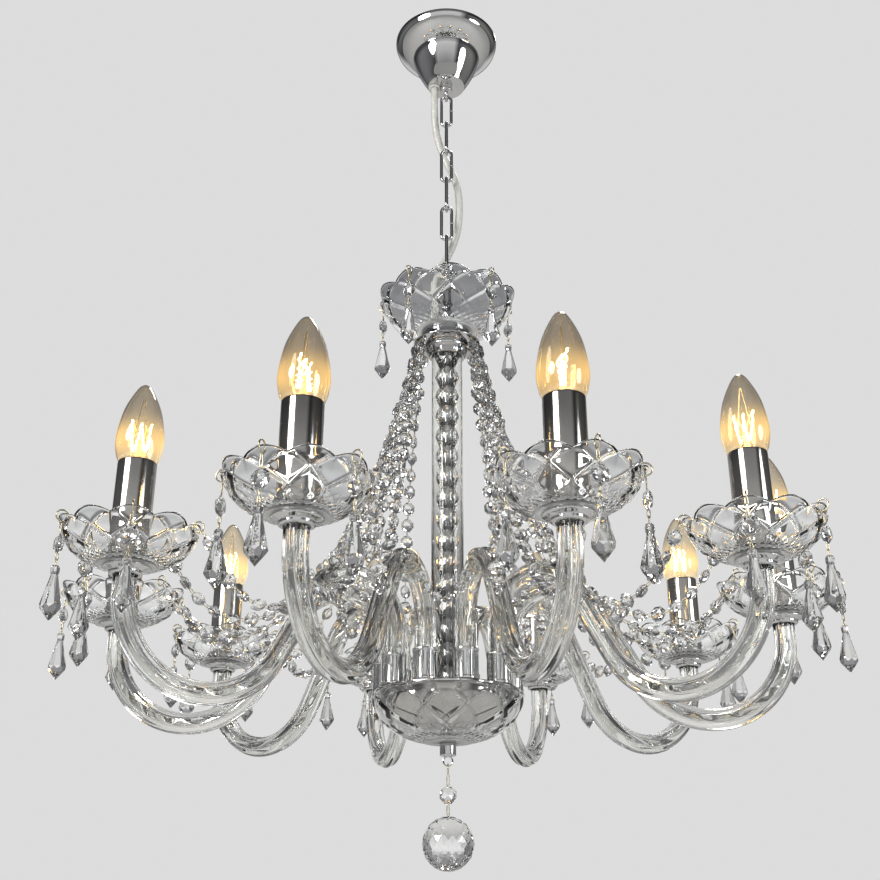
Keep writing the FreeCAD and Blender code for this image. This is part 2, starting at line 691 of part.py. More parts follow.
def pear_drop(top):
    """A faceted drop: a short neck, six long facets that widen low down, and a point."""
    radius, length = value("dropRadius"), value("dropLength")
    rings = [
        [at(0, 0, top - length)],
        ring_points(radius, top - length * 0.74, 8),
        ring_points(radius * 0.45, top - length * 0.2, 8, 0.5),
        ring_points(radius * 0.3, top, 8),
    ]
    shell = rings + [[at(0, 0, top)]]
    return facets(shell, False)


def pendant():
    """A hanging crystal about its rim ring's centre: ring, pin, octagon bead, pin and drop."""
    ring = wire_loop(value("ringRadius"), value("ringWire"))
    parts, low = crystal_chain(-value("ringRadius"), [value("beadRadius")])
    pin = value("pinLength")
    parts.append(Part.makeCylinder(value("pinRadius"), pin, at(0, 0, low - pin)))
    parts.append(pear_drop(low - pin))
    return Part.makeCompound([ring] + parts)


def make_pendants():
    """One drop at the outside of each dish, two at its sides, and five round the crown."""
    hanging = pendant()
    radius, height = dish_hole()[2]
    seat = value("-dishSeat") + height
    sides = []
    count = int(value("armCount"))
    for index in range(count):
        turn = 360.0 * index / count
        centre = polar(value("armReach"), turn, seat)
        outer = placed(hanging, centre + polar(radius, turn, 0), turn)
        piece("outer_pendant_%02d" % (index + 1), outer)
        for offset in (-72, 72):
            sides.append(placed(hanging, centre + polar(radius, turn + offset, 0), turn + offset))
    piece("side_pendants", Part.makeCompound(sides))
    radius, height = crown_hole()[2]
    seat = value("-crownFloor") + height
    turns = [value("crownTurn") + 72 * index for index in range(5)]
    crown = [placed(hanging, polar(radius, degrees, seat), degrees) for degrees in turns]
    piece("crown_pendants", Part.makeCompound(crown))


def bead_string(route, pitch, radius, thick):
    """A string of crystal beads along a route given as a function from 0 to 1."""
    samples = [route(step / 400.0) for step in range(401)]
    lengths = [0.0]
    for before, after in zip(samples, samples[1:]):
        lengths.append(lengths[-1] + (after - before).Length)
    count = max(2, int(round(lengths[-1] / pitch)))
    rings = []
    for step in range(2 * count + 1):
        wanted = lengths[-1] * step / (2.0 * count)
        index = min(range(len(lengths)), key=lambda place: abs(lengths[place] - wanted))
        along = samples[min(index + 1, 400)] - samples[max(index - 1, 0)]
        along.normalize()
        side = along.cross(UP)
        side.normalize()
        level = side.cross(along)
        wide = radius if step % 2 else value("neckRadius")
        deep = thick if step % 2 else value("neckRadius")
        spot = samples[index]
        rings.append([spot + level * wide, spot + side * deep, spot - level * wide, spot - side * deep])
    rings = [[samples[0]]] + rings[1:-1] + [[samples[-1]]]
    return facets(rings, False), count


def make_strands():
    """Two bead strings from the crown collar to rings at the inner side of each dish."""
    radius, height = dish_hole()[2]
    corner = value("ringRadius + ringWire + seatGap") * math.sqrt(0.5) + value("neckRadius")
    count = int(value("armCount"))
    strings = []
    rings = []
    for index in range(count):
        turn = 360.0 * index / count
        for side in (-1, 1):
            facing = turn + side * 144
            hold = polar(value("armReach"), turn, value("-dishSeat") + height)
            rings.append(placed(wire_loop(value("ringRadius"), value("ringWire")),
                                hold + polar(radius, facing, 0), facing))
            finish = hold + polar(radius + corner, facing, -corner)
            end = finish
            flat_turn = math.degrees(math.atan2(end.y, end.x))
            start_turn = turn + side * 90.0 / count
            start = polar(value("strandRing"), start_turn,
                          value("-crownFloor - collarDrop - collarWall - seatGap"))
            first = polar(value("strandFirstReach"), start_turn, -value("strandFirstDrop"))
            second = polar(value("strandSecondReach"), flat_turn, -value("strandSecondDrop"))
            strings.append((start, first, second, finish))
    solids = []
    beads = 0
    for start, first, second, finish in strings:
        def route(t, start=start, first=first, second=second, finish=finish):
            back = 1 - t
            return (start * back ** 3 + first * (3 * back ** 2 * t)
                    + second * (3 * back * t ** 2) + finish * t ** 3)
        solid, number = bead_string(route, value("beadPitch"), value("beadRadius"), value("beadThick"))
        solids.append(solid)
        beads += number
    print("strand beads", beads)
    piece("strand_rings", Part.makeCompound(rings))
    piece("bead_strands", Part.makeCompound(solids))


def make_garland():
    """Short swags of small beads between neighbouring arm arches, on wire rings round the arms."""
    count = int(value("armCount"))
    radius = value("socketCircle + archRadius")
    apex = value("-archCentre + archRadius")
    loop = value("armRadius + seatGap + ringWire")
    rings, swags = [], []
    for index in range(count):
        turn = 360.0 * index / count
        rings.append(placed(wire_loop(loop, value("ringWire")), polar(radius, turn, apex), turn + 90))
        offset = (loop + value("ringWire + neckRadius")) * math.sqrt(0.5)
        start = polar(radius, turn, apex - offset) + polar(offset, turn + 90, 0)
        ahead = turn + 360.0 / count
        finish = polar(radius, ahead, apex - offset) - polar(offset, ahead + 90, 0)
        sag = value("garlandSag") - offset

        def route(t, start=start, finish=finish):
            return start * (1 - t) + finish * t - at(0, 0, sag * 4 * t * (1 - t))
        swags.append(bead_string(route, value("garlandPitch"), value("garlandBead"),
                                 value("garlandBead * 0.6"))[0])
    piece("arm_rings", Part.makeCompound(rings))
    piece("inner_garland", Part.makeCompound(swags))


# ---------------------------------------------------------------- arms and candles

def arm_path():
    """The arm's centre line in the XZ plane: up, over an arch, down a slope, round a bend and up."""
    start = at(value("socketCircle"), 0, value("-hubTop + socketFloor + seatGap"))
    arch, bend = value("archRadius"), value("bendRadius")
    arch_centre = at(value("socketCircle") + arch, 0, -value("archCentre"))
    bend_centre = at(value("armReach") - bend, 0, -value("bendCentre"))
    between = bend_centre - arch_centre
    slope = math.atan2(between.z, between.x) + math.acos((arch + bend) / between.Length)

    def around(centre, radius, angle):
        return centre + at(radius * math.cos(angle), 0, radius * math.sin(angle))
    leave = around(arch_centre, arch, slope)
    enter = around(bend_centre, -bend, slope)
    arch_top = around(arch_centre, arch, (math.pi + slope) / 2)
    bend_low = around(bend_centre, bend, (slope - math.pi) / 2)
    rise = at(value("armReach"), 0, -value("bendCentre"))
    top = at(value("armReach"), 0, value("-dishSeat - endRingThick - seatGap"))
    corner = at(value("socketCircle"), 0, -value("archCentre"))
    return Part.Wire([
        Part.LineSegment(start, corner).toShape(), Part.Arc(corner, arch_top, leave).toShape(),
        Part.LineSegment(leave, enter).toShape(), Part.Arc(enter, bend_low, rise).toShape(),
        Part.LineSegment(rise, top).toShape(),
    ]), start


def make_arms():
    """Fluted glass tubes with a pair of wires inside each."""
    path, start = arm_path()
    lobes = []
    flutes = 8
    for index in range(flutes):
        turn = 360.0 / flutes
        begin = start + polar(value("armGroove"), turn * index, 0)
        crest = start + polar(value("armRadius"), turn * (index + 0.5), 0)
        end = start + polar(value("armGroove"), turn * (index + 1), 0)
        lobes.append(Part.Arc(begin, crest, end).toShape())
    outside = path.makePipeShell([Part.Wire(lobes)], True, False)
    bore = path.makePipeShell([Part.Wire(Part.Circle(start, UP, value("armBore")).toShape())], True, False)
    wire = path.makePipeShell([Part.Wire(Part.Circle(start, UP, value("armWire")).toShape())], True, False)
    arm = outside.cut(bore)
    count = int(value("armCount"))
    piece("glass_arms", Part.makeCompound([placed(arm, ORIGIN, 360.0 * index / count)
                                           for index in range(count)]))
    piece("arm_wires", Part.makeCompound([placed(wire, ORIGIN, 360.0 * index / count)
                                          for index in range(count)]))


def around_arms(label, shape, height):
    """Ten copies of a piece, one over each arm's outer end."""
    count = int(value("armCount"))
    copies = [placed(shape, polar(value("armReach"), 360.0 * index / count, 0), 360.0 * index / count)
              for index in range(count)]
    return piece(label, Part.makeCompound(copies), height)


def make_arm_ends():
    """The chrome cup on each arm's end, with a hollow spigot up through the dish."""
    cup = lathe("end_cup_turned", [
        ("wireHole", "-endRingThick"),
        ("armRadius + fitGap", "-endRingThick"),
        ("armRadius + fitGap", "-endRingThick - endNeckHeight"),
        ("endNeckRadius", "-endRingThick - endNeckHeight"),
        ("endNeckRadius", "-endRingThick"),
        ("endRingRadius", "-endRingThick"),
        ("endRingRadius", "0"),
        ("spigotRadius", "0"),
        ("spigotRadius", "spigotHeight"),
        ("wireHole", "spigotHeight"),
    ], keep=False)
    around_arms("arm_end_cups", cup.Shape, "-dishSeat")


def make_dishes():
    """The drip dish over each arm's end, with five holes near its rim."""
    rim, depth = value("dishRim"), value("dishDepth")
    pins = (0, -72, 72, -144, 144)
    hole = value("dishHole") / math.cos(math.pi / (2 * value("armCount")))
    dish = cut_glass_dish(rim, value("dishBase"), value("dishBelly"), depth, value("dishBellyHeight"),
                          value("dishWall"), hole, pins)
    around_arms("drip_dishes", dish, "-dishSeat")


def make_candles():
    """The mirror sleeve on each dish and the lamp holder inside it."""
    sleeve = lathe("sleeve_turned", [
        ("sleeveRadius - sleeveWall", "dishWall"),
        ("sleeveRadius", "dishWall"),
        ("sleeveRadius", "sleeveTop"),
        ("sleeveRadius - sleeveWall * 2.5", "sleeveTop"),
        ("sleeveRadius - sleeveWall * 2.5", "sleeveTop - sleeveWall"),
        ("sleeveRadius - sleeveWall", "sleeveTop - sleeveWall"),
    ], keep=False)
    around_arms("candle_sleeves", sleeve.Shape, "-dishSeat")
    holder = lathe("holder_turned", [
        ("spigotRadius + fitGap", "dishWall"),
        ("holderRadius", "dishWall"),
        ("holderRadius", "sleeveTop - holderStep"),
        ("holderBore", "sleeveTop - holderStep"),
        ("holderBore", "sleeveTop - holderDepth"),
        ("wireHole", "sleeveTop - holderDepth"),
        ("wireHole", "spigotHeight + seatGap"),
        ("spigotRadius + fitGap", "spigotHeight + seatGap"),
    ], keep=False)
    around_arms("lamp_holders", holder.Shape, "-dishSeat")


def make_bulbs():
    """Candle bulbs: a screw cap, a thin glass flame and a filament on its stem."""
    cap = lathe("bulb_cap_turned", [
        ("0", "sleeveTop - holderDepth + 1"),
        ("capThread * 0.6", "sleeveTop - holderDepth + 1"),
        ("capThread", "sleeveTop - holderDepth + 4"),
        ("capThread", "sleeveTop"),
        ("0", "sleeveTop"),
    ], keep=False)
    low, wide, top = value("sleeveTop"), value("sleeveTop + bulbWide"), value("bulbTop")
    neck, radius = value("bulbNeck"), value("bulbRadius")

    def flame(inset):
        outline = Part.BSplineCurve()
        tip = at(0, 0, top - inset * 1.5)
        outline.interpolate([at(neck - inset, 0, low), at(radius * 0.86 - inset, 0, (low + wide) / 2),
                             at(radius - inset, 0, wide),
                             at(radius * 0.62 - inset, 0, wide + (top - wide) * 0.55), tip])
        edges = [outline.toShape(), Part.LineSegment(tip, at(0, 0, low)).toShape(),
                 Part.LineSegment(at(0, 0, low), at(neck - inset, 0, low)).toShape()]
        return Part.Face(Part.Wire(edges)).revolve(ORIGIN, UP, 360)
    glass = flame(0).cut(flame(value("bulbShell")))
    stem = Part.makeCone(value("bulbNeck") * 0.5, value("filamentRadius"), value("filamentDrop"),
                         at(0, 0, low))
    filament = Part.makeCylinder(value("filamentRadius"), value("filamentLength"),
                                 at(0, 0, low + value("filamentDrop")))
    bulb = Part.makeCompound([cap.Shape, glass, stem.fuse(filament)])
    count = int(value("armCount"))
    for index in range(count):
        spot = polar(value("armReach"), 360.0 * index / count, 0)
        piece("bulb_%02d" % (index + 1), placed(bulb, spot, 360.0 * index / count), "-dishSeat")


# ---------------------------------------------------------------- build, check and write

make_ceiling_group()
rod_top = make_chain()
make_cable()
make_crown()
make_column_beads()
make_rod(rod_top)
make_hub()
ball_pivot = make_bottom()
make_arms()
make_arm_ends()
make_dishes()
make_candles()
make_bulbs()
make_pendants()
make_strands()
make_garland()
doc.recompute()

faults = [item.Name for item in doc.Objects if "Invalid" in item.State or "Error" in item.State]
for label, item in nodes.items():
    shape = item.Shape
    if shape.isNull() or not shape.isValid() or not shape.Solids:
        faults.append(label)
if faults:
    raise RuntimeError("pieces that failed: " + ", ".join(faults))

os.makedirs("parts", exist_ok=True)
for label, item in nodes.items():
    item.Shape.exportStep("parts/%s.step" % label)
print(len(nodes), "pieces; ball pivot", round(ball_pivot, 3), "dish ring", dish_hole()[2])
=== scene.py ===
import bpy
import numpy as np
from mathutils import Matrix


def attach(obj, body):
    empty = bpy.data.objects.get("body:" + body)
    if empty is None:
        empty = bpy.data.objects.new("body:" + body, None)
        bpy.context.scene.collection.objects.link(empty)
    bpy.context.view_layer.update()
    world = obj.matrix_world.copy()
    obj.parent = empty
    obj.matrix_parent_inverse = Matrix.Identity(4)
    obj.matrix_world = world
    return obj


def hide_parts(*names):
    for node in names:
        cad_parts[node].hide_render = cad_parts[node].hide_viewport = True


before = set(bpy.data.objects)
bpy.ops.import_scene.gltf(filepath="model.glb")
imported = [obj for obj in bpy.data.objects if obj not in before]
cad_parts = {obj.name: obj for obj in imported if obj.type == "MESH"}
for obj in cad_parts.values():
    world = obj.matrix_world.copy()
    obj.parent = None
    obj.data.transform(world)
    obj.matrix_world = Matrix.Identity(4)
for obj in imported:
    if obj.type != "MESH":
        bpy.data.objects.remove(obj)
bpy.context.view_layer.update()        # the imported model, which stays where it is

mm = 0.001               # every shape below is worked out in millimetres
fullTurn = 2 * np.pi
rng = np.random.default_rng(7)
print("frame loaded:", len(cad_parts), "solids")

# camera: the photograph's place, found from its dishes, bulbs and arm bends
view = {"place": (0.03297, -0.93174, -0.8359), "pitch": 113.18, "turn": 2.41, "lens": 47.77}
cameraData = bpy.data.cameras.new("camera")
cameraData.lens = view["lens"]
cameraData.sensor_width = 36
cameraData.clip_start, cameraData.clip_end = 0.01, 50
camera = bpy.data.objects.new("camera", cameraData)
camera.location = view["place"]
camera.rotation_euler = (np.radians(view["pitch"]), 0, np.radians(view["turn"]))
bpy.context.scene.collection.objects.link(camera)
bpy.context.scene.camera = camera
bpy.context.scene.view_settings.view_transform = "Standard"


class Term:              # a node's output, so that sums are written as plain expressions
    def __init__(self, finish, socket):
        self.finish, self.socket = finish, socket

    def maths(self, operation, first, second):
        return self.finish.make("ShaderNodeMath", {"operation": operation}, {0: first, 1: second})

    def __add__(self, other): return self.maths("ADD", self, other)
    def __radd__(self, other): return self.maths("ADD", other, self)
    def __sub__(self, other): return self.maths("SUBTRACT", self, other)
    def __mul__(self, other): return self.maths("MULTIPLY", self, other)
    def __rmul__(self, other): return self.maths("MULTIPLY", other, self)


class Finish:            # a material or the world, and the one way its nodes are made
    def __init__(self, name, owner=None):
        self.owner = owner or bpy.data.materials.new(name)
        self.owner.use_nodes = True
        self.tree = self.owner.node_tree
        self.tree.nodes.clear()

    def make(self, kind, settings={}, inputs={}, out=0):
        node = self.tree.nodes.new(kind)
        for key, setting in settings.items():
            if key == "stops":
                ramp = node.color_ramp.elements
                while len(ramp) < len(setting):
                    ramp.new(0.5)
                for stop, (place, colour) in zip(ramp, setting):
                    stop.position, stop.color = place, (*colour, 1)
            else:
                setattr(node, key, setting)
        for key, given in inputs.items():
            if isinstance(given, Term):
                self.tree.links.new(given.socket, node.inputs[key])
            else:
                node.inputs[key].default_value = given
        return Term(self, node.outputs[out]) if out is not None else None

    def place(self):
        return self.make("ShaderNodeTexCoord", out="Object")

    def noise(self, scale, detail=3.0, stretch=(1, 1, 1)):
        spot = self.make("ShaderNodeMapping", {}, {"Vector": self.place(), "Scale": stretch})
        return self.make("ShaderNodeTexNoise", {}, {"Vector": spot, "Scale": scale, "Detail": detail})

    def ramp(self, factor, *stops):
        return self.make("ShaderNodeValToRGB", {"stops": stops}, {"Fac": factor})

    def bump(self, height, strength, distance):
        return self.make("ShaderNodeBump", {}, {"Height": height, "Strength": strength,
                                                "Distance": distance})

    def surface(self, **inputs):
        named = {key.replace("_", " "): given for key, given in inputs.items()}
        shader = self.make("ShaderNodeBsdfPrincipled", {}, named)
        self.make("ShaderNodeOutputMaterial", {}, {"Surface": shader}, None)
        return self.owner


class Shell:             # points (n, 3), blocks of faces (m, k), and each block's finish numbers and shading
    def __init__(self, points, blocks, marks, smooth=True):
        self.points, self.blocks, self.marks = points, blocks, marks
        self.smooth = [smooth] * len(blocks)

    def moved(self, x=0.0, y=0.0, z=0.0):
        return Shell.like(self, self.points + np.array([x, y, z]))

    def turned(self, degrees, axis=2):
        a, b = [(1, 2), (2, 0), (0, 1)][axis]
        c, s = np.cos(np.radians(degrees)), np.sin(np.radians(degrees))
        points = self.points.copy()
        points[:, a] = c * self.points[:, a] - s * self.points[:, b]
        points[:, b] = s * self.points[:, a] + c * self.points[:, b]
        return Shell.like(self, points)

    @staticmethod
    def like(other, points):
        made = Shell(points, other.blocks, other.marks)
        made.smooth = other.smooth
        return made

    def copies(self, turns, offsets):
        # turns (k, 3, 3) and offsets (k, 3): every copy's points are turned, then moved
        points = np.einsum("kij,nj->kni", turns, self.points) + offsets[:, None, :]
        first = np.arange(len(offsets))[:, None, None] * len(self.points)
        made = Shell(points.reshape(-1, 3),
                     [(block[None] + first).reshape(-1, block.shape[1]) for block in self.blocks],
                     [np.tile(mark, len(offsets)) for mark in self.marks])
        made.smooth = self.smooth
        return made

    def ringOf(self, degrees, radius=0.0, height=0.0):
        # one copy at each angle about the vertical, at a radius
        a = np.radians(np.atleast_1d(np.asarray(degrees, float)))
        return self.copies(turnsAbout(a), np.stack([radius * np.cos(a), radius * np.sin(a),
                                                    np.full_like(a, height)], 1))


def turnsAbout(a):       # turns about the vertical for an array of angles
    zero, one = np.zeros_like(a), np.ones_like(a)
    return np.stack([np.stack([np.cos(a), -np.sin(a), zero], 1), np.stack([np.sin(a), np.cos(a), zero], 1),
                     np.stack([zero, zero, one], 1)], 1)


def gridShell(points, loopRows=True, loopCols=True, finish=0, flat=False):
    # points (rows, columns, 3) joined by quads, or by triangles where flat; finish: a number or one per row.
    # Doubled points are welded, faces without area go, and a shell whose volume is negative is turned over.
    rows, cols = points.shape[:2]
    i = np.arange(rows if loopRows else rows - 1)[:, None]
    j = np.arange(cols if loopCols else cols - 1)[None, :]
    i2, j2 = (i + 1) % rows, (j + 1) % cols
    quads = np.stack([i * cols + j, i * cols + j2, i2 * cols + j2, i2 * cols + j], -1)
    marks = np.broadcast_to((np.zeros(rows, int) + finish)[i], quads.shape[:2]).reshape(-1)
    quads = quads.reshape(-1, 4)
    if flat:
        quads = np.concatenate([quads[:, [0, 1, 3, 3]], quads[:, [1, 2, 3, 3]]])
        marks = np.tile(marks, 2)
    points = points.reshape(-1, 3)
    _, first, back = np.unique(np.round(points, 4), axis=0, return_index=True, return_inverse=True)
    points, quads = points[first], back.reshape(-1)[quads]
    fresh = quads != np.roll(quads, 1, axis=1)
    corners = fresh.sum(1)
    loose = (corners == 4) & ((quads[:, 0] == quads[:, 2]) | (quads[:, 1] == quads[:, 3]))
    four, three = (corners == 4) & ~loose, corners == 3
    triangles = quads[three][fresh[three]].reshape(-1, 3)
    bad = (triangles[:, 0] == triangles[:, 2]) | (triangles[:, 0] == triangles[:, 1])
    blocks, kept = [quads[four], triangles[~bad]], [marks[four], marks[three][~bad]]
    volume = 0.0
    for block in blocks:
        a, b, c, d = (points[block[:, k]] for k in (0, 1, 2, -1))
        volume += (a * np.cross(b, c)).sum() + (a * np.cross(c, d)).sum()
    if volume < 0:
        blocks = [block[:, ::-1] for block in blocks]
    return Shell(points, blocks, kept, not flat)


def rounded(corners, steps=4):
    # corners (n, 3) of radius, height and rounding: each becomes a quadratic curve between its two sides
    corners = np.array(corners, float)
    here, size = corners[:, :2], corners[:, 2:3]
    ends = []
    for way in (1, -1):
        side = np.roll(here, way, 0) - here
        long = np.maximum(np.linalg.norm(side, axis=1, keepdims=True), 1e-9)
        ends.append(here + side / long * np.minimum(size, 0.45 * long))
    t = np.linspace(0, 1, steps + 1)[None, :, None]
    curve = ends[0][:, None] * (1 - t) ** 2 + here[:, None] * 2 * t * (1 - t) + ends[1][:, None] * t ** 2
    return curve.reshape(-1, 2)


def smoothLine(spots, count):
    # a Catmull-Rom curve through the spots, at count even steps of its parameter
    spots = np.array(spots, float)
    padded = np.concatenate([2 * spots[:1] - spots[1:2], spots, 2 * spots[-1:] - spots[-2:-1]])
    u = np.linspace(0, len(spots) - 1, count)
    k = np.minimum(u.astype(int), len(spots) - 2)
    t = (u - k)[:, None]
    a, b, c, d = (padded[k + n] for n in range(4))
    return 0.5 * (2 * b + (c - a) * t + (2 * a - 5 * b + 4 * c - d) * t ** 2 + (3 * b - a - 3 * c + d) * t ** 3)


def turnedShell(profile, count=96, finish=0):
    # (r cos a, r sin a, z) of a closed profile, carried round the vertical
    a = np.arange(count) * fullTurn / count
    r, z = profile[:, 0], profile[:, 1]
    height = np.broadcast_to(z[:, None], (len(r), count))
    points = np.stack([r[:, None] * np.cos(a), r[:, None] * np.sin(a), height], -1)
    return gridShell(points, finish=finish)


def sweptShell(path, section, closed=False, finish=0, across=(0, 1, 0)):
    # path (n, 3) in the plane square to across; section (n or 1, m, 2) is carried square to it
    across = np.array(across, float)
    ahead = np.roll(path, -1, 0) - np.roll(path, 1, 0) if closed else np.gradient(path, axis=0)
    ahead = ahead / np.linalg.norm(ahead, axis=1, keepdims=True)
    side = np.cross(across, ahead)
    points = path[:, None] + side[:, None] * section[..., :1] + across * section[..., 1:]
    if not closed:
        points = np.concatenate([path[:1, None].repeat(points.shape[1], 1), points,
                                 path[-1:, None].repeat(points.shape[1], 1)])
    return gridShell(points, loopRows=closed, finish=finish)


def disc(radius, count):  # a round section
    a = np.arange(count) * fullTurn / count
    return np.stack([radius * np.cos(a), radius * np.sin(a)], 1)[None]


def wireLoop(radius, wire, around=28, sides=8, finish=0):
    # a round wire loop in the XZ plane
    a = np.arange(around) * fullTurn / around
    path = np.stack([radius * np.cos(a), 0 * a, radius * np.sin(a)], 1)
    return sweptShell(path, disc(wire, sides), closed=True, finish=finish)


def addPiece(name, shells, finishes, body, replaced=(), sharp=None):
    # one mesh from all shells, put in with foreach_set; sharp is the angle past which edges stay crisp
    first, starts, loops, marks, smooth = 0, [], [], [], []
    for shell in shells:
        for block, mark, soft in zip(shell.blocks, shell.marks, shell.smooth):
            loops.append((block + first).reshape(-1))
            starts.append(np.full(len(block), block.shape[1]))
            marks.append(mark)
            smooth.append(np.full(len(block), soft))
        first += len(shell.points)
    points, sizes = np.concatenate([shell.points for shell in shells]) * mm, np.concatenate(starts)
    mesh = bpy.data.meshes.new(name)
    mesh.vertices.add(len(points))
    mesh.vertices.foreach_set("co", points.reshape(-1))
    mesh.loops.add(int(sizes.sum()))
    mesh.loops.foreach_set("vertex_index", np.concatenate(loops).astype(np.int32))
    mesh.polygons.add(len(sizes))
    mesh.polygons.foreach_set("loop_start", (np.cumsum(sizes) - sizes).astype(np.int32))
    mesh.polygons.foreach_set("material_index", np.concatenate(marks).astype(np.int32))
    mesh.polygons.foreach_set("use_smooth", np.concatenate(smooth))
    mesh.update(calc_edges=True)
    if sharp:
        mesh.set_sharp_from_angle(angle=np.radians(sharp))
    for finish in finishes:
        mesh.materials.append(finish)
    piece = bpy.data.objects.new(name, mesh)
    bpy.context.scene.collection.objects.link(piece)
    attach(piece, body)
    if replaced:
        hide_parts(*([replaced] if isinstance(replaced, str) else replaced))
    return piece


# finishes
def makeChrome():
    f = Finish("mirrorChrome")
    cloud = f.noise(38, 4)
    wipe = f.noise(160, 2, (1, 1, 0.15))
    return f.surface(Base_Color=f.ramp(cloud, (0.3, (0.56, 0.565, 0.57)), (0.7, (0.63, 0.63, 0.63))),
                     Metallic=1.0, Roughness=cloud * 0.05 + wipe * 0.03,
                     Normal=f.bump(wipe, 0.03, 0.0004))


# painted shade: the same polished chrome given a darker base colour, which stands in for the dark room it
# reflects
def makeShadeDarkenedChrome():
    f = Finish("shadeDarkenedChrome")
    cloud = f.noise(45, 4)
    wipe = f.noise(210, 2, (1, 1, 0.08))
    return f.surface(Base_Color=f.ramp(cloud, (0.3, (0.40, 0.39, 0.37)), (0.7, (0.50, 0.485, 0.46))),
                     Metallic=1.0, Roughness=0.05 + cloud * 0.06 + wipe * 0.05,
                     Normal=f.bump(wipe, 0.03, 0.0004))


def makeZinc():
    f = Finish("zincSteel")
    grain = f.noise(90, 5)
    return f.surface(Base_Color=f.ramp(grain, (0.35, (0.45, 0.46, 0.46)), (0.65, (0.62, 0.62, 0.60))),
                     Metallic=1.0, Roughness=0.25 + grain * 0.2, Normal=f.bump(grain, 0.1, 0.0005))


def makeGlass(name, tint, ior, drawn, streak=(1, 1, 1)):
    # clear glass: faint waves of the melt in its surface, stretched along the draw
    f = Finish(name)
    wave = f.noise(drawn, 2, streak)
    tone = f.ramp(wave, (0.35, tint), (0.65, tuple(min(1.0, part * 1.02) for part in tint)))
    return f.surface(Base_Color=tone, IOR=ior, Transmission_Weight=1.0,
                     Roughness=wave * 0.02, Normal=f.bump(wave, 0.06, 0.0006))


def makeFrosted():
    f = Finish("frostedGlass")
    grain = f.noise(900, 2)
    return f.surface(Base_Color=f.ramp(grain, (0.3, (0.86, 0.88, 0.88)), (0.7, (0.97, 0.98, 0.98))),
                     IOR=1.5, Transmission_Weight=0.85, Roughness=0.3 + grain * 0.25,
                     Normal=f.bump(grain, 0.35, 0.0003))


def makeBulbGlass():
    # thin clear glass with painted light round the filament: a pale warm emission and a warmer tint in the
    # glass itself, by exp(-0.008 * mm^2) from its middle height
    f = Finish("bulbGlass")
    height = f.make("ShaderNodeSeparateXYZ", {}, {"Vector": f.place()}, 2)
    level = (height + 0.597) * 1000.0 - 96.0
    glow = f.make("ShaderNodeMath", {"operation": "EXPONENT"}, {0: level * level * -0.008})
    wave = f.noise(60, 2)
    return f.surface(Base_Color=f.ramp(glow, (0.0, (1.0, 0.95, 0.84)), (1.0, (1.0, 0.90, 0.68))),
                     IOR=1.45, Transmission_Weight=1.0, Roughness=wave * 0.015,
                     Emission_Color=f.ramp(glow, (0.0, (0.020, 0.012, 0.004)), (1.0, (0.50, 0.31, 0.10))),
                     Emission_Strength=0.45, Normal=f.bump(wave, 0.04, 0.0005))


def makeFilament():
    f = Finish("litFilament")
    wave = f.noise(500, 1)
    return f.surface(Base_Color=(1.0, 0.8, 0.5, 1), Roughness=0.5, Emission_Strength=22.0,
                     Emission_Color=f.ramp(wave, (0.3, (1.0, 0.60, 0.22)), (0.7, (1.0, 0.74, 0.40))))


def makeWire(name, low, high, roughness):
    f = Finish(name)
    grain = f.noise(400, 2)
    return f.surface(Base_Color=f.ramp(grain, (0.35, low), (0.65, high)), Metallic=1.0,
                     Roughness=grain * 0.12 + roughness)


def makePlastic(name, low, high, roughness, scale, through=0.0):
    f = Finish(name)
    grain = f.noise(scale, 3)
    return f.surface(Base_Color=f.ramp(grain, (0.3, low), (0.7, high)), Roughness=grain * 0.12 + roughness,
                     Transmission_Weight=through, IOR=1.46, Normal=f.bump(grain, 0.08, 0.0004))


chrome = makeChrome()
shadeDarkenedChrome = makeShadeDarkenedChrome()
zincSteel = makeZinc()
armGlass = makeGlass("armGlass", (0.97, 0.975, 0.96), 1.5, 26, (1, 1, 0.3))
cutGlass = makeGlass("cutGlass", (0.97, 0.98, 0.985), 1.52, 34)
crystal = makeGlass("crystal", (0.975, 0.98, 0.99), 1.62, 60)
frosted = makeFrosted()
bulbGlass = makeBulbGlass()
filament = makeFilament()
beadWire = makeWire("beadWire", (0.62, 0.54, 0.36), (0.80, 0.72, 0.52), 0.16)
silverWire = makeWire("silverWire", (0.62, 0.62, 0.60), (0.78, 0.78, 0.76), 0.18)
brass = makeWire("capBrass", (0.60, 0.45, 0.20), (0.76, 0.60, 0.32), 0.22)
sheathed = makePlastic("cableSheath", (0.70, 0.70, 0.66), (0.84, 0.84, 0.80), 0.28, 220, 0.25)
insulation = makePlastic("wireInsulation", (0.74, 0.73, 0.69), (0.84, 0.83, 0.79), 0.4, 300)
moulded = makePlastic("mouldedPlastic", (0.76, 0.75, 0.71), (0.86, 0.85, 0.82), 0.42, 260)
print("finishes made")

# ceiling: canopy with its stepped bell, and the eye under it
canopy = {"radius": 50.5, "lip": 3, "stepRadius": 33, "step": 19, "neck": 18, "drop": 54, "wall": 1.2,
          "holeAt": -11.6, "stem": 6, "stemLong": 6, "eye": 5, "eyeWire": 1.6}


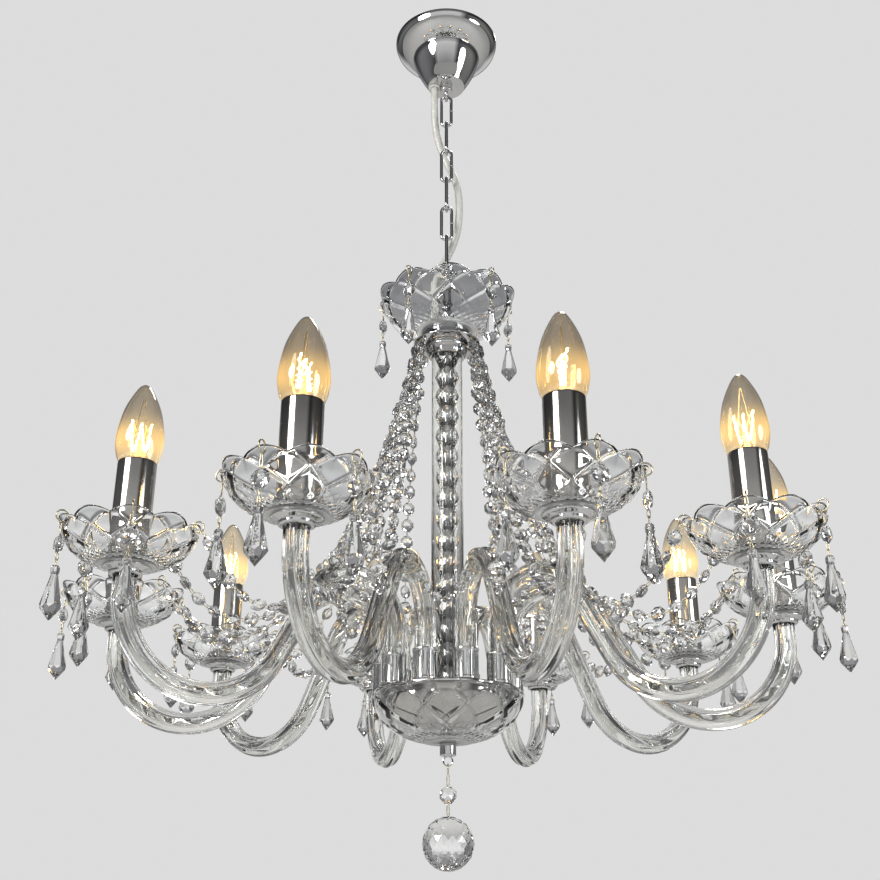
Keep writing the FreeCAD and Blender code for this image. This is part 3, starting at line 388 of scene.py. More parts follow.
def canopyProfile():
    # outside from the lip over the dome, the step and the cone to the neck, then back inside
    dome = smoothLine([(canopy["radius"], -canopy["lip"]), (48.6, -8.0), (44.2, -12.8), (38.4, -16.8),
                       (canopy["stepRadius"], -canopy["step"])], 26)
    cone = smoothLine([(canopy["stepRadius"], -canopy["step"] - 1.2), (31.6, -26), (28.2, -34.4),
                       (23.4, -44.2), (canopy["neck"] + .6, -52.6)], 20)
    wall, low = canopy["wall"], -canopy["drop"]
    outside = np.concatenate([[(canopy["radius"], 0), (canopy["radius"] + 0.1, -1.4)], dome, cone,
                              [(canopy["neck"], low), (5.2, low)]])
    inside = np.concatenate([[(5.2, low + wall), (canopy["neck"] - wall, low + wall)], (cone - [wall, 0])[::-1],
                             (dome - [wall, -0.3])[::-1], [(canopy["radius"] - wall, 0)]])
    return np.concatenate([outside, inside])


stemEye = [turnedShell(rounded([(0, 0, 0), (canopy["stem"], 0, .4), (canopy["stem"], -canopy["stemLong"], .9),
                                (0, -canopy["stemLong"], 0)]), 48).moved(z=-canopy["drop"]),
           wireLoop(canopy["eye"], canopy["eyeWire"], 40, 12).turned(90).moved(
               z=-canopy["drop"] - canopy["stemLong"] - canopy["eye"] + canopy["eyeWire"] / 2)]
addPiece("canopyShell", [turnedShell(canopyProfile(), 144)], [chrome], "ceiling_mount", "canopy", 34)
grommet = turnedShell(rounded([(3.55, .9, .3), (5.4, .9, .5), (5.4, -.9, .5), (3.55, -.9, .3)]), 40, 0)
addPiece("cableGrommet", [grommet.moved(x=canopy["holeAt"], z=-canopy["drop"] - .9)], [insulation],
         "ceiling_mount")
addPiece("canopyEye", stemEye, [chrome], "ceiling_mount", "canopy_eye", 34)
print("ceiling done")

# chain: oval links turned in turn, the cable woven down it, and the loop on the rod
chain = {"count": 6, "pitch": 32.7, "wire": 1.5, "half": 4.8, "gap": .3, "top": -65.8, "loopStem": 9}


def linkShell():
    # a long oval in the XZ plane from the middle of its top bend: two half circles and two straight sides
    half, long = chain["half"], chain["pitch"] + 2 * chain["wire"] + chain["gap"]
    a = np.linspace(0, np.pi, 15)
    top = np.stack([half * np.cos(a), 0 * a, half * np.sin(a) - half], 1)
    low = np.stack([-half * np.cos(a), 0 * a, half - long - half * np.sin(a)], 1)
    side = np.linspace(0, 1, 9)[1:-1, None]
    path = np.concatenate([top, top[-1] + (low[0] - top[-1]) * side, low, low[-1] + (top[0] - low[-1]) * side])
    return sweptShell(path, disc(chain["wire"], 12), closed=True)


linkTop = linkShell().moved(z=chain["top"])
weldRadius = chain["wire"] + .25
weld = turnedShell(rounded([(0, 1, 0), (weldRadius, 1, .5), (weldRadius, -1, .5), (0, -1, 0)]), 12)
links = [linkShell().turned(90 * (k % 2)).moved(z=chain["top"] - k * chain["pitch"])
         for k in range(1, chain["count"])]
welds = [weld.moved(x=chain["half"]).turned(90 * (k % 2)).moved(z=chain["top"] - (k + .55) * chain["pitch"])
         for k in range(1, chain["count"])]
topWeld = weld.moved(chain["half"], 0, chain["top"] - .55 * chain["pitch"])
addPiece("chainTopLink", [linkTop, topWeld], [chrome], "top_link", "chain_top_link", 34)
addPiece("chainLinks", links + welds, [chrome], "chandelier", "chain_links", 34)

lowestLink = chain["top"] - chain["pitch"] * chain["count"] - 3.3
loopCentre = lowestLink + chain["wire"] + canopy["eyeWire"] + .3 - canopy["eye"]
stemTop = loopCentre - canopy["eye"] + canopy["eyeWire"] / 2
loop = [wireLoop(canopy["eye"], canopy["eyeWire"], 40, 12).moved(z=loopCentre),
        turnedShell(rounded([(0, 0, 0), (canopy["stem"], 0, .9), (canopy["stem"], -chain["loopStem"], .5),
                             (0, -chain["loopStem"], 0)]), 48).moved(z=stemTop)]
addPiece("rodLoop", loop, [chrome], "chandelier", "rod_loop", 34)

cable = {"radius": 3.5, "route": [                      # the woven cable's points
    (-11.6, 0, -44), (-11.5, 0.6, -64), (-12.0, 2.5, -84), (-10.5, 7.5, -104), (-5.0, 12.3, -124),
    (3.0, 13.2, -143), (9.3, 9.8, -162), (11.8, 5.2, -182), (12.2, 4.5, -203), (9.4, 8.6, -222),
    (2.8, 12.9, -239), (-5.6, 12.3, -255), (-10.8, 7.6, -272), (-11.4, 3.2, -290), (-10.0, 1.0, -308),
    (-9.3, 1.8, -326), (-9.6, 1.2, -343.7)]}
route = bpy.data.curves.new("supplyCable", "CURVE")
route.dimensions = "3D"
route.resolution_u = 10
route.bevel_depth = cable["radius"] * mm
route.bevel_resolution = 5
route.use_fill_caps = True
spline = route.splines.new("NURBS")
spline.points.add(len(cable["route"]) - 1)
spline.points.foreach_set("co", np.concatenate(
    [np.array(cable["route"]) * mm, np.ones((len(cable["route"]), 1))], 1).reshape(-1))
spline.order_u = 3
spline.use_endpoint_u = True
route.materials.append(sheathed)
cablePiece = bpy.data.objects.new("supplyCable", route)
bpy.context.scene.collection.objects.link(cablePiece)
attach(cablePiece, "chandelier")
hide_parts("supply_cable")
print("chain and cable done")

# cut glass: scalloped rim, crossed V cuts under each lobe and fine crossed cuts round the base
dish = {"lobes": 10, "columns": 400, "dip": 3.0, "cut": 4.0, "depth": 29, "vDepth": 1.8, "vWidth": .1,
        "turns": 1.67, "first": 0, "fineDepth": .42, "fineCount": 3, "outside": [
            (5.5, 0), (19.6, 0), (21.4, .5), (26, 2.0), (33, 5.7), (40.3, 11.2), (45.4, 18.4), (48.6, 25.4),
            (50, 29)],
        "inside": [(47, 28.7), (45.4, 24.6), (42.4, 18.6), (37.3, 12.6), (30.5, 7.4), (24, 4.3), (5.5, 3.2)]}
crown = {**dish, "depth": 36.25, "dip": 3.6, "cut": 4.6, "turn": 23.4, "floor": -332, "outside": [
            (16.2, 0), (24.5, 0), (27, .7), (33, 2.6), (41.5, 7), (50.3, 14), (56.6, 23), (60.8, 31.6),
            (62.5, 36.25)],
        "inside": [(59.5, 35.9), (57.6, 31), (53.4, 23.2), (46.9, 15.6), (38.6, 9.4), (30.2, 5.2),
                   (16.2, 3.2)]}
bowl = {**dish, "vDepth": 2.2, "vWidth": .11, "depth": 37, "dip": 1.4, "cut": 1.2, "floor": -694.5, "outside": [
            (4.3, 0), (17, 0), (19.5, .5), (27, 2.2), (38.4, 6.4), (48.9, 13.2), (56, 22.4), (59.8, 30.4),
            (61, 37)],
        "inside": [(58, 36.7), (56.8, 30.4), (53, 23), (46, 14.8), (36, 8.8), (26.5, 5.1), (4.3, 3.2)]}


def cutBowl(spec):
    # wall line (r, z) with s from 0 at the rim to 1 at the base; the rim is drawn in and lowered between lobes
    # by 1 - |cos(lobes * a / 2)|, and V cuts follow lobes * a / turn +- q(s) = 1/2, so that they cross
    # at the middle of each lobe and again below each notch
    outer, inner = smoothLine(spec["outside"], 52), smoothLine(spec["inside"], 14)
    lip = rounded([(*outer[-1], .0), (outer[-1][0] - .25, outer[-1][1] + .45, 1.2),
                   (inner[0][0] + .25, inner[0][1] + .5, 1.2), (*inner[0], .0)], 3)[4:-4]
    line = np.concatenate([outer, lip, inner])
    r, z = line[:, 0], line[:, 1]
    along = np.gradient(line, axis=0)
    along /= np.maximum(np.linalg.norm(along, axis=1, keepdims=True), 1e-9)
    onWall = (np.arange(len(line)) < len(outer)) & (z > .3)
    run = np.concatenate([[0], np.cumsum(np.linalg.norm(np.diff(outer[outer[:, 1] > .3], axis=0), axis=1))])
    s = np.zeros(len(line))
    s[onWall] = 1 - run / run[-1]
    a = np.arange(spec["columns"]) * fullTurn / spec["columns"]
    lobe = 1 - np.abs(np.cos(spec["lobes"] * a / 2))
    drawn = np.clip((z / spec["depth"] - .3) / .7, 0, 1) ** 1.7
    cell = spec["lobes"] * a / fullTurn

    def families(scale, q, width):
        # depth of a V on both crossing families, 1 at its line
        depth = np.zeros((len(line), len(a)))
        for way in (1, -1):
            phase = cell[None] * scale + way * q[:, None]
            off = np.abs(phase - np.floor(phase) - .5)
            depth = np.maximum(depth, np.clip(1 - off / width, 0, 1))
        return depth
    broad = np.interp(s, [.05, .12, .58, .74], [0, 1, .9, 0]) * onWall
    fine = np.interp(s, [.62, .72, .97, 1], [0, 1, 1, 0]) * onWall
    sink = (families(1, s * spec["turns"] + spec["first"], spec["vWidth"]) * broad[:, None] * spec["vDepth"]
            + families(spec["fineCount"], s * 7.0, .30) * fine[:, None] * spec["fineDepth"])
    radius = r[:, None] - drawn[:, None] * lobe * spec["dip"] - sink * along[:, 1:]
    height = z[:, None] - drawn[:, None] * lobe * spec["cut"] + sink * along[:, :1]
    points = np.stack([radius * np.cos(a), radius * np.sin(a), height], -1)
    ground = np.where((np.arange(len(line)) < len(outer)) & (z < .9) & (r < spec["outside"][2][0] + .5), 1, 0)
    return gridShell(points, finish=ground)


dishShell = cutBowl(dish)
arms = {"count": 10, "reach": 270, "seat": -597}
armAngles = np.arange(arms["count"]) * 360 / arms["count"]
for k, degrees in enumerate(armAngles):
    addPiece("dripDish_%02d" % (k + 1), [dishShell.ringOf(degrees, arms["reach"], arms["seat"])],
             [cutGlass, frosted], "chandelier", "drip_dishes")
addPiece("crownDish", [cutBowl(crown).turned(crown["turn"]).moved(z=crown["floor"])], [cutGlass, frosted],
         "chandelier", "crown_dish")
addPiece("bottomBowl", [cutBowl(bowl).moved(z=bowl["floor"])], [cutGlass, frosted], "chandelier",
         "bottom_bowl")
print("cut glass done")

# crown collar and column round the centre rod
column = {"collar": 23.5, "collarDrop": 12, "flange": 30, "cap": 19,
          "tube": 13.5, "tubeWall": 1.8, "hub": -655, "stack": 9.8, "beads": 16}
collarLow = crown["floor"] - column["collarDrop"] - 1.2
collar = turnedShell(rounded([(4.2, -13.2, 0), (column["flange"], -13.2, .5), (column["flange"], -12, .5),
                              (column["collar"] + .8, -12, .8), (column["collar"], -10.5, .8),
                              (column["collar"], 0, .5), (column["collar"] - 1.2, 0, .5),
                              (column["collar"] - 1.2, -12, .3), (4.2, -12, 0)]), 96).moved(z=crown["floor"])
addPiece("crownCollar", [collar], [chrome], "chandelier", "crown_collar", 34)
cap = turnedShell(rounded([(4.2, 0, 0), (column["cap"], 0, .6), (column["cap"], -4, 1.2), (17.2, -7.2, 2),
                           (15.7, -12, .6), (13.7, -12, .2), (13.7, -4.8, 0), (4.2, -4.8, 0)]), 96)
addPiece("columnCap", [cap.moved(z=collarLow)], [chrome], "chandelier", "column_cap", 34)
tubeLow, tubeHigh = column["hub"] + 2, collarLow - 4.8
pipe = rounded([(column["tube"] - column["tubeWall"], tubeLow, .4), (column["tube"], tubeLow, .4),
                (column["tube"], tubeHigh, .4), (column["tube"] - column["tubeWall"], tubeHigh, .4)], 2)
addPiece("columnTube", [turnedShell(pipe, 72)], [armGlass], "chandelier", "column_tube", 34)


def facetShell(rings, sides, finish=0):
    # rings of (radius, height, turn in half steps): flat triangles between them, tips at radius 0
    r, z, half = np.array(rings, float).T
    a = (np.arange(sides)[None] + half[:, None] / 2) * fullTurn / sides
    height = np.broadcast_to(z[:, None], a.shape)
    points = np.stack([r[:, None] * np.cos(a), r[:, None] * np.sin(a), height], -1)
    return gridShell(points, loopRows=False, finish=finish, flat=True)


beadTall = (tubeHigh - tubeLow - .6) / column["beads"]
stackBead = facetShell([(4.75, 0, 0), (6.4, 0, 0), (9.2, beadTall * .28, 1),
                        (column["stack"], beadTall * .5, 2), (9.2, beadTall * .72, 3),
                        (6.4, beadTall - .1, 4), (4.75, beadTall - .1, 4)], 8)
beadFeet = tubeLow + .3 + beadTall * np.arange(column["beads"])
flatTurns = np.broadcast_to(np.eye(3), (column["beads"], 3, 3))
stack = stackBead.copies(flatTurns, np.stack([0 * beadFeet, 0 * beadFeet, beadFeet], 1))
addPiece("columnBeads", [stack], [crystal], "chandelier", "column_beads")
print("column done")

# hub: plate, ten sockets, the mirror cup in the bowl, and the finial
hub = {"top": -655, "radius": 58.5, "thick": 2.5, "circle": 50.5, "socket": 9.9, "tall": 24, "bore": 8.8,
       "finial": 6.5, "finialTall": 10.8}
plate = turnedShell(rounded([(4.2, 0, 0), (10.7, 0, 0), (10.7, 1.7, .3), (15.5, 1.7, .5), (17, 0, .6),
                             (hub["radius"], 0, .8), (hub["radius"], -hub["thick"], .8),
                             (4.2, -hub["thick"], 0)]), 144).moved(z=hub["top"])
addPiece("hubPlate", [plate], [chrome], "chandelier", "hub_plate", 34)
socket = turnedShell(rounded([(2.4, 0, 0), (hub["socket"], 0, .3), (hub["socket"], 1.6, .3), (9.6, 2.1, .3),
                              (9.6, 21.6, .3), (hub["socket"], 22.2, .3), (hub["socket"], hub["tall"], .5),
                              (hub["bore"], hub["tall"], .3), (hub["bore"], 3, 0), (2.4, 3, 0)]), 48)
addPiece("armSockets", [socket.ringOf(armAngles, hub["circle"], hub["top"])], [chrome], "chandelier",
         "arm_sockets", 34)
cupLine = smoothLine([(54, 0), (53.2, -7), (48.6, -15.6), (39.5, -22.6), (27, -27), (14, -29), (4.2, -29.4)],
                     40)
cup = turnedShell(np.concatenate([cupLine, (cupLine * [.978, .96])[::-1]]), 144)
# the mirror cup takes the chrome darkened with painted shade
addPiece("mirrorCup", [cup.moved(z=hub["top"] - hub["thick"])], [shadeDarkenedChrome], "chandelier", "wiring_cup", 34)
finialTop = bowl["floor"]
nut = turnedShell(rounded([(0, 0, 0), (hub["finial"], 0, .4), (hub["finial"], 1 - hub["finialTall"], .9),
                           (0, -hub["finialTall"], 0)]), 48)
hookCentre = finialTop - hub["finialTall"] - 3.0
addPiece("finialNut", [nut.moved(z=finialTop), wireLoop(3.6, .6, 24, 8).moved(z=hookCentre)], [chrome],
         "chandelier", "finial", 34)
print("hub done")

# glass arms: up from the hub, over an arch, down a slope, round a bend and up to the dish
arm = {"radius": 8.6, "groove": .95, "flutes": 8, "bore": 4.2, "arch": 38, "archZ": -610, "bend": 63,
       "bendZ": -615, "foot": -651.7, "head": -599.3}


def armLine():
    # (r, z): two arcs joined by the line that is tangent to the top of one and the foot of the other
    c1 = np.array([hub["circle"] + arm["arch"], arm["archZ"]])
    c2 = np.array([arms["reach"] - arm["bend"], arm["bendZ"]])
    gap = c2 - c1
    slope = np.arctan2(gap[1], gap[0]) + np.arccos((arm["arch"] + arm["bend"]) / np.hypot(*gap))
    up, down = np.linspace(np.pi, slope, 34), np.linspace(slope - np.pi, 0, 44)
    arc1 = c1 + arm["arch"] * np.stack([np.cos(up), np.sin(up)], 1)
    arc2 = c2 + arm["bend"] * np.stack([np.cos(down), np.sin(down)], 1)
    foot = np.stack([np.full(8, hub["circle"]), np.linspace(arm["foot"], arm["archZ"], 8)], 1)[:-1]
    between = arc1[-1] + (arc2[0] - arc1[-1]) * np.linspace(0, 1, 14)[1:-1, None]
    head = np.stack([np.full(3, arms["reach"]), np.linspace(arm["bendZ"], arm["head"], 3)], 1)[1:]
    flatLine = np.concatenate([foot, arc1, between, arc2, head])
    return np.stack([flatLine[:, 0], 0 * flatLine[:, 0], flatLine[:, 1]], 1)


def flutedArm(path):
    # outside r = radius - groove * (1 - |cos(flutes * a / 2)|), and a round bore, as one closed wall
    a = np.arange(72) * fullTurn / 72
    crest = arm["radius"] - arm["groove"] * (1 - np.abs(np.cos(arm["flutes"] * a / 2)))
    ahead = np.gradient(path, axis=0)
    ahead /= np.linalg.norm(ahead, axis=1, keepdims=True)
    side = np.cross([0, 1, 0], ahead)

    def wall(r):
        return path[:, None] + side[:, None] * (r * np.cos(a))[None, :, None] + \
            np.array([0, 1, 0]) * (r * np.sin(a))[None, :, None]
    bore = np.full_like(a, arm["bore"])
    return gridShell(np.concatenate([wall(crest), wall(bore)[::-1]]))


armPath = armLine()
armShell = flutedArm(armPath)
armStep = np.concatenate([[0], np.cumsum(np.linalg.norm(np.diff(armPath, axis=0), axis=1))])


def pairedWire(way):
    # one of two wires that wind round each other once every 46 mm inside the bore
    ahead = np.gradient(armPath, axis=0)
    ahead /= np.linalg.norm(ahead, axis=1, keepdims=True)
    side = np.cross([0, 1, 0], ahead)
    twist = armStep * fullTurn / 46 + way * np.pi
    middle = (armPath + side * (1.25 * np.cos(twist))[:, None]
              + np.array([0, 1, 0]) * (1.25 * np.sin(twist))[:, None])
    return sweptShell(middle, disc(1.05, 8))


wires = [pairedWire(0), pairedWire(1)]
for k, degrees in enumerate(armAngles):
    addPiece("glassArm_%02d" % (k + 1), [armShell.ringOf(degrees)], [armGlass], "chandelier",
             "glass_arms", 60)
addPiece("armWires", [wire.ringOf(armAngles) for wire in wires], [silverWire], "chandelier",
         "arm_wires")
print("arms done")

# arm ends, candle sleeves and bulbs
endCup = turnedShell(rounded([(2.4, -2, 0), (8.8, -2, 0), (8.8, -6, .2), (10.6, -6, .5), (11.8, -5.2, .5),
                              (11.8, -3.2, .6), (15.6, -2, .8), (17, -1.4, .4), (17, 0, .3), (5, 0, 0),
                              (5, 12, .3), (2.4, 12, .3)]), 64)
addPiece("armEndCups", [endCup.ringOf(armAngles, arms["reach"], arms["seat"])], [chrome], "chandelier",
         "arm_end_cups", 34)
sleeve = turnedShell(rounded([(13.2, 3, 0), (14, 3, .3), (14, 77.2, .7), (13.6, 78, .5), (12, 78, .3),
                              (12, 77.2, .2), (13.2, 77.2, .1)]), 72)
# the candle sleeves take the chrome darkened with painted shade
addPiece("candleSleeves", [sleeve.ringOf(armAngles, arms["reach"], arms["seat"])], [shadeDarkenedChrome],
         "chandelier", "candle_sleeves", 34)

bulb = {"wall": .7, "outline": [
    (8.2, 78), (12.6, 78.5), (14.8, 79.9), (16.3, 84.5), (17.4, 91.5), (17.2, 98.5), (15.9, 107.9),
    (13.9, 117.3), (11.4, 124.4), (9.3, 129), (6.9, 133.8), (3.9, 138.4), (0, 141)]}


def bulbShells():
    # glass: the outline turned about the axis, with an inner wall; cap with a rolled thread; stem, leads, coil
    line = smoothLine(bulb["outline"], 46)
    line[-1, 0] = 0
    slope = np.gradient(line, axis=0)
    slope /= np.linalg.norm(slope, axis=1, keepdims=True)
    inner = line + np.stack([-slope[:, 1], slope[:, 0]], 1) * bulb["wall"]
    inner[:, 0] = np.maximum(inner[:, 0], 0)
    inner[-1, 0] = 0
    glass = turnedShell(np.concatenate([line, inner[::-1]]), 48, 0)
    z = np.linspace(55, 77, 45)
    thread = np.stack([6.45 + .45 * np.cos((z - 55) * fullTurn / 3.6), z], 1)
    screw = turnedShell(np.concatenate([[(0, 52), (3.6, 52), (4.6, 54)], thread,
                                        [(7.6, 78), (8.1, 79.4), (0, 79.4)]]), 40, 1)
    mount = turnedShell(rounded([(0, 79.4, 0), (4.6, 79.4, .4), (2.6, 86, 1), (1.5, 93, 1), (2.1, 95.4, .8),
                                 (0, 96.4, 0)]), 24, 0)
    lead = []
    for way in (1, -1):
        t = np.linspace(0, 1, 10)
        low = np.stack([way * (1.0 + 6.4 * t ** 1.5), 0 * t, 94 + 16 * t], 1)
        high = np.stack([way * (4.9 - 4.4 * t), 0 * t, 98 + 31 * t], 1)
        lead += [sweptShell(low, disc(.3, 6), finish=1), sweptShell(high, disc(.24, 6), finish=1)]
    u = np.linspace(0, 1, 150)
    arc = np.stack([7.4 * (2 * u - 1), 2.2 * np.sin(u * fullTurn),
                    110 - 22 * np.abs(np.sin(u * fullTurn)) ** .8], 1)
    spin = u * fullTurn * 24
    coil = arc + 1.0 * np.stack([0 * u, np.cos(spin), np.sin(spin)], 1)
    glow = sweptShell(coil, disc(.7, 5), finish=2, across=(0, 1, 0))
    return [glass, screw, mount, *lead, glow]


bulbParts = bulbShells()
for k, degrees in enumerate(armAngles):
    node = "bulb_%02d" % (k + 1)
    placed = [part.ringOf(degrees, arms["reach"], arms["seat"]) for part in bulbParts]
    addPiece("candleBulb_%02d" % (k + 1), placed, [bulbGlass, brass, filament], node, node, 50)
print("candles done")

# crystals: octagon beads, wire links, drops and the ball
gem = {"bead": 7, "thick": 3.3, "ring": 4.2, "wire": .55, "pin": 9, "gapTop": 4.8}


def octagon(radius, thick, finish=0):
    # a flat bead in the YZ plane: a point on each face, a ring of star facets and eight corners
    rings = [(0, thick, 0), (radius * .62, thick * .78, 1), (radius, .0, 0), (radius * .62, -thick * .78, 1),
             (0, -thick, 0)]
    return facetShell(rings, 8, finish).turned(22.5).turned(90, axis=1)


def wireLink(length, finish=1):
    # a thin long eye of wire in the XZ plane, with its middle at the origin
    a = np.arange(10) * fullTurn / 10
    path = np.stack([.95 * np.cos(a), 0 * a, np.sin(a) * (length / 2 - .3)], 1)
    return sweptShell(path, disc(.36, 4), closed=True, finish=finish)


def dropShell():
    # a kite drop: a small eight-sided cap, a neck, long facets to the widest ring low down, and a point
    return facetShell([(0, 0, 0), (2.3, 0, 0), (3.1, -1.3, 0), (3.1, -4.6, 0), (2.4, -6.2, 1), (7.5, -27.4, 2),
                       (6.6, -29.6, 3), (0, -38, 2)], 8)


def pendantShells():
    # from the rim ring's centre down: ring, wire eye, bead, wire eye, drop
    flat = np.cos(np.pi / 8) * gem["bead"]
    beadMiddle = -gem["gapTop"] - gem["pin"] - flat
    dropTop = beadMiddle - flat - gem["pin"]
    return [wireLoop(gem["ring"], gem["wire"], 26, 6, 1),
            wireLink(gem["pin"] + 2.6).turned(90).moved(z=-gem["gapTop"] - gem["pin"] / 2),
            octagon(gem["bead"], gem["thick"]).moved(z=beadMiddle),
            wireLink(gem["pin"] / 2 + 2.2).moved(z=dropTop + gem["pin"] * .72),
            wireLink(gem["pin"] / 2 + 2.4).turned(90).moved(z=dropTop + gem["pin"] * .22),
            dropShell().moved(z=dropTop)]


hang = {"radius": 48.166883, "height": 28.428532, "crownRadius": 60.66, "crownHeight": 35.68}
pendant = pendantShells()
for k, degrees in enumerate(armAngles):
    x, y = arms["reach"] * np.cos(np.radians(degrees)), arms["reach"] * np.sin(np.radians(degrees))
    node = "outer_pendant_%02d" % (k + 1)
    outer = [part.moved(x=hang["radius"]).turned(degrees).moved(x, y, arms["seat"] + hang["height"])
             for part in pendant]
    addPiece("outerDrop_%02d" % (k + 1), outer, [crystal, beadWire], node, node)
sides = []
for around in (-72, 72):
    for part in pendant:
        first = part.moved(x=hang["radius"]).turned(around)
        sides.append(first.moved(x=arms["reach"], z=arms["seat"] + hang["height"]).ringOf(armAngles))
addPiece("sideDrops", sides, [crystal, beadWire], "chandelier", "side_pendants")


def tilted(ends):
    # turns whose Z goes along each end-to-end direction and whose X is level
    along = ends / np.linalg.norm(ends, axis=1, keepdims=True)
    level = np.cross(along, [0, 0, 1.0])
    level /= np.maximum(np.linalg.norm(level, axis=1, keepdims=True), 1e-6)
    return np.stack([np.cross(along, level) * -1, level, along], 2)


def beadString(line, pitch, bead, thick, roll):
    # beads at even steps of a line's length, each turned about the line, with an eye between neighbours
    run = np.concatenate([[0], np.cumsum(np.linalg.norm(np.diff(line, axis=0), axis=1))])
    count = max(2, int(round(run[-1] / pitch)))

    def spotsAt(steps):
        return np.stack([np.interp(steps * run[-1] / count, run, line[:, k]) for k in range(3)], 1)
    middle, tie = np.arange(count) + .5, np.arange(count + 1)
    turn, low, high = tilted(spotsAt(middle + .2) - spotsAt(middle - .2)), tie - .3, tie + .3
    spin = turnsAbout(roll[:count])
    beads = octagon(bead, thick).copies(np.einsum("kij,kjl->kil", turn, spin), spotsAt(middle))
    low, high = np.clip(low, 0, count), np.clip(high, 0, count)
    gap = run[-1] / count - 2 * bead * np.cos(np.pi / 8) + 2.6
    ties = wireLink(gap).copies(tilted(spotsAt(high) - spotsAt(low)), spotsAt(tie))
    return [beads, ties]


def bezier(a, b, c, d, count=200):  # a cubic curve through four points
    t = np.linspace(0, 1, count)[:, None]
    return a * (1 - t) ** 3 + 3 * b * t * (1 - t) ** 2 + 3 * c * t ** 2 * (1 - t) + d * t ** 3


def polar(radius, degrees, z):
    return np.array([radius * np.cos(np.radians(degrees)), radius * np.sin(np.radians(degrees)), z])


strand = {"ring": 26, "top": collarLow - .3, "first": (88, -626), "second": (183, -658), "hook": 4.78,
          "gather": .4, "lead": .35,
          "pitch": 15, "bead": 6.2}
strings, hooks = [], []
for degrees in armAngles:
    for way in (-1, 1):
        # the strings leave the collar in two bundles, so that the column stays clear
        facing, start = degrees + way * 144, (degrees + way * 9) % 360
        middle = 180 if 90 < start < 270 else 0
        start = middle + ((start - middle + 180) % 360 - 180) * strand["gather"]
        hold = polar(arms["reach"], degrees, arms["seat"] + hang["height"])
        finish = hold + polar(hang["radius"] + strand["hook"], facing, -strand["hook"])
        end = np.degrees(np.arctan2(finish[1], finish[0]))
        lead = start + ((end - start + 180) % 360 - 180) * strand["lead"]
        line = bezier(polar(strand["ring"], start, strand["top"]),
                      polar(strand["first"][0], lead, strand["first"][1]),
                      polar(strand["second"][0], end, strand["second"][1]), finish)
        strings += beadString(line, strand["pitch"], strand["bead"], gem["thick"], rng.uniform(0, np.pi, 60))
        hook = wireLoop(gem["ring"], gem["wire"], 26, 6).moved(x=hang["radius"])
        hooks.append(hook.turned(facing).moved(*hold))
addPiece("beadStrands", strings, [crystal, beadWire], "chandelier", "bead_strands")
addPiece("strandRings", hooks, [beadWire], "chandelier", "strand_rings")

crownAngles = crown["turn"] + np.arange(5) * 72
crownDrops = [part.moved(x=hang["crownRadius"], z=crown["floor"] + hang["crownHeight"]).ringOf(crownAngles)
              for part in pendant]
addPiece("crownDrops", crownDrops, [crystal, beadWire], "chandelier", "crown_pendants")

garland = {"apex": -572, "radius": 88.5, "loop": 9.5, "sag": 30, "pitch": 11, "bead": 5}
swags, armRings = [], []
for degrees in armAngles:
    off = (garland["loop"] + 1.5) * np.sqrt(.5)
    start = polar(garland["radius"], degrees, garland["apex"] - off) + polar(off, degrees + 90, 0)
    finish = polar(garland["radius"], degrees + 36, garland["apex"] - off) - polar(off, degrees + 126, 0)
    t = np.linspace(0, 1, 60)[:, None]
    line = start * (1 - t) + finish * t - np.array([0, 0, 1]) * (garland["sag"] - off) * 4 * t * (1 - t)
    swags += beadString(line, garland["pitch"], garland["bead"], 2.6, rng.uniform(0, np.pi, 30))
    armRing = wireLoop(garland["loop"], .6, 32, 8).turned(90)
    armRings.append(armRing.moved(garland["radius"], 0, garland["apex"]).turned(degrees))
addPiece("innerGarland", swags, [crystal, beadWire], "chandelier", "inner_garland")
addPiece("armRings", armRings, [beadWire], "chandelier", "arm_rings")

ball = {"pivot": -711.9, "radius": 20, "rows": 12, "sides": 16}
ringCentre = ball["pivot"] + 1.5 - 3.6
beadMiddle = ringCentre - 3.6 - .6 - gem["pin"] - np.cos(np.pi / 8) * gem["bead"]
ballCentre = beadMiddle - np.cos(np.pi / 8) * gem["bead"] - gem["pin"] - ball["radius"]
slope = np.linspace(-np.pi / 2, np.pi / 2, ball["rows"] + 1)
facetBall = facetShell(np.stack([ball["radius"] * np.cos(slope), ball["radius"] * np.sin(slope),
                                 np.arange(len(slope))], 1), ball["sides"])
addPiece("ballRing", [wireLoop(3.6, .6, 24, 8).turned(90).moved(z=ringCentre)], [beadWire], "ball_drop",
         "ball_ring")
addPiece("ballBead", [octagon(gem["bead"], gem["thick"]).turned(90).moved(z=beadMiddle),
                      wireLink(gem["pin"] + 2.6).moved(z=beadMiddle + 6.47 + gem["pin"] / 2),
                      wireLink(gem["pin"] + 2.6).moved(z=beadMiddle - 6.47 - gem["pin"] / 2)],
         [crystal, beadWire], "ball_drop", "ball_bead")
addPiece("crystalBall", [facetBall.moved(z=ballCentre)], [crystal], "ball_drop", "crystal_ball")
print("crystals done")

# solids that stay as they are, each with its own finish
kept = {"ceiling_bracket": zincSteel, "threaded_nipple": zincSteel, "lock_nut": zincSteel,
        "terminal_block": moulded, "centre_rod": chrome, "rod_wires": insulation, "wire_connector": moulded,
        "lamp_holders": moulded}
for name, finish in kept.items():
    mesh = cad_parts[name].data
    mesh.materials.clear()
    mesh.materials.append(finish)

# room: a pale floor, a pale world and soft lamps
room = {"floor": -1.5, "half": 6, "pale": .72, "level": .55}
floorMesh = bpy.data.meshes.new("floor")
floorMesh.from_pydata([(x * room["half"], y * room["half"], room["floor"])
                       for x, y in ((-1, -1), (1, -1), (1, 1), (-1, 1))], [], [(0, 1, 2, 3)])
floorFinish = Finish("paleFloor")
floorMesh.materials.append(floorFinish.surface(Base_Color=(.74, .735, .72, 1), Roughness=.7))
floor = bpy.data.objects.new("floor", floorMesh)
bpy.context.scene.collection.objects.link(floor)

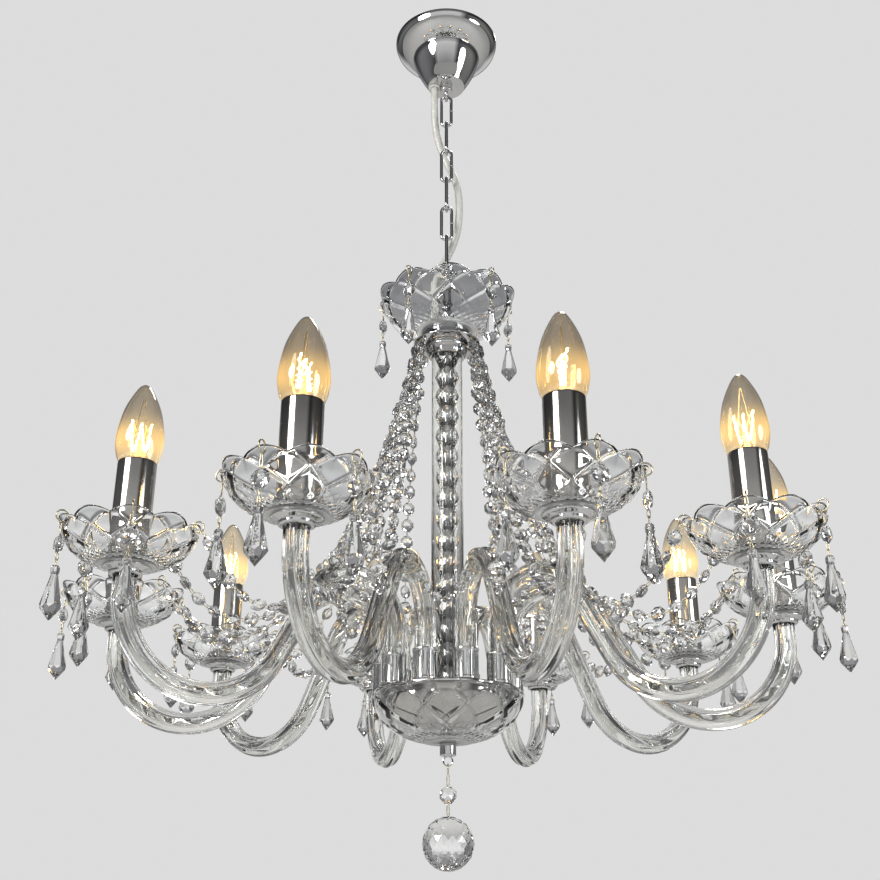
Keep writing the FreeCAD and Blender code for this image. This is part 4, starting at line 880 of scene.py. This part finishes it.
world = bpy.data.worlds.new("room")
bpy.context.scene.world = world
sky = Finish("room", world)
ray = sky.make("ShaderNodeLightPath")
direct = sky.make("ShaderNodeSeparateXYZ", {}, {"Vector": sky.make("ShaderNodeTexCoord")}, 2)
paths = ray.socket.node.outputs
seen = sky.make("ShaderNodeMath", {"operation": "MAXIMUM"},
                {0: Term(sky, paths["Is Glossy Ray"]), 1: Term(sky, paths["Is Transmission Ray"])})
height = direct * .5 + .5
bands = sky.ramp(height, (0.0, (.10, .10, .11)), (.36, (.22, .22, .22)), (.46, (.66, .66, .65)),
                 (.60, (.84, .84, .83)), (.72, (.24, .24, .25)), (1.0, (.06, .06, .07)))
across = sky.make("ShaderNodeSeparateXYZ", {}, {"Vector": sky.make("ShaderNodeTexCoord")}, 0)
flags = sky.ramp(across * .5 + .5, (.0, (.30, .30, .31)), (.16, (.12, .12, .13)), (.26, (1.0, 1.0, 1.0)),
                 (.74, (1.0, 1.0, 1.0)), (.84, (.12, .12, .13)), (1.0, (.34, .34, .33)))
mirrored = sky.make("ShaderNodeMix", {"data_type": "RGBA", "blend_type": "MULTIPLY"},
                    {0: 1.0, 6: bands, 7: flags}, 2)
plain = sky.make("ShaderNodeMix", {"data_type": "RGBA"},
                 {0: Term(sky, paths["Is Camera Ray"]), 6: (room["level"],) * 3 + (1,),
                  7: (room["pale"],) * 3 + (1,)}, 2)
shown = sky.make("ShaderNodeMix", {"data_type": "RGBA"}, {0: seen, 6: plain, 7: mirrored}, 2)
backdrop = sky.make("ShaderNodeBackground", {}, {"Color": shown})
sky.make("ShaderNodeOutputWorld", {}, {"Surface": backdrop}, None)


def softLamp(name, place, target, size, power, tint):
    data = bpy.data.lights.new(name, "AREA")
    data.shape, data.size, data.energy, data.color = "DISK", size, power, tint
    lamp = bpy.data.objects.new(name, data)
    lamp.location = place
    aim = np.array(target) - np.array(place)
    lamp.rotation_euler = (np.arccos(-aim[2] / np.linalg.norm(aim)), 0, np.arctan2(aim[1], aim[0]) - np.pi / 2)
    bpy.context.scene.collection.objects.link(lamp)


softLamp("keyLamp", (-1.5, -1.6, .3), (0, 0, -.45), 1.0, 30, (1, .98, .95))
softLamp("fillLamp", (1.9, -1.0, -.2), (0, 0, -.5), .9, 14, (.94, .97, 1))
softLamp("backLamp", (.6, 1.7, 2.1), (0, 0, -.45), .8, 30, (1, .97, .92))
print("room done")
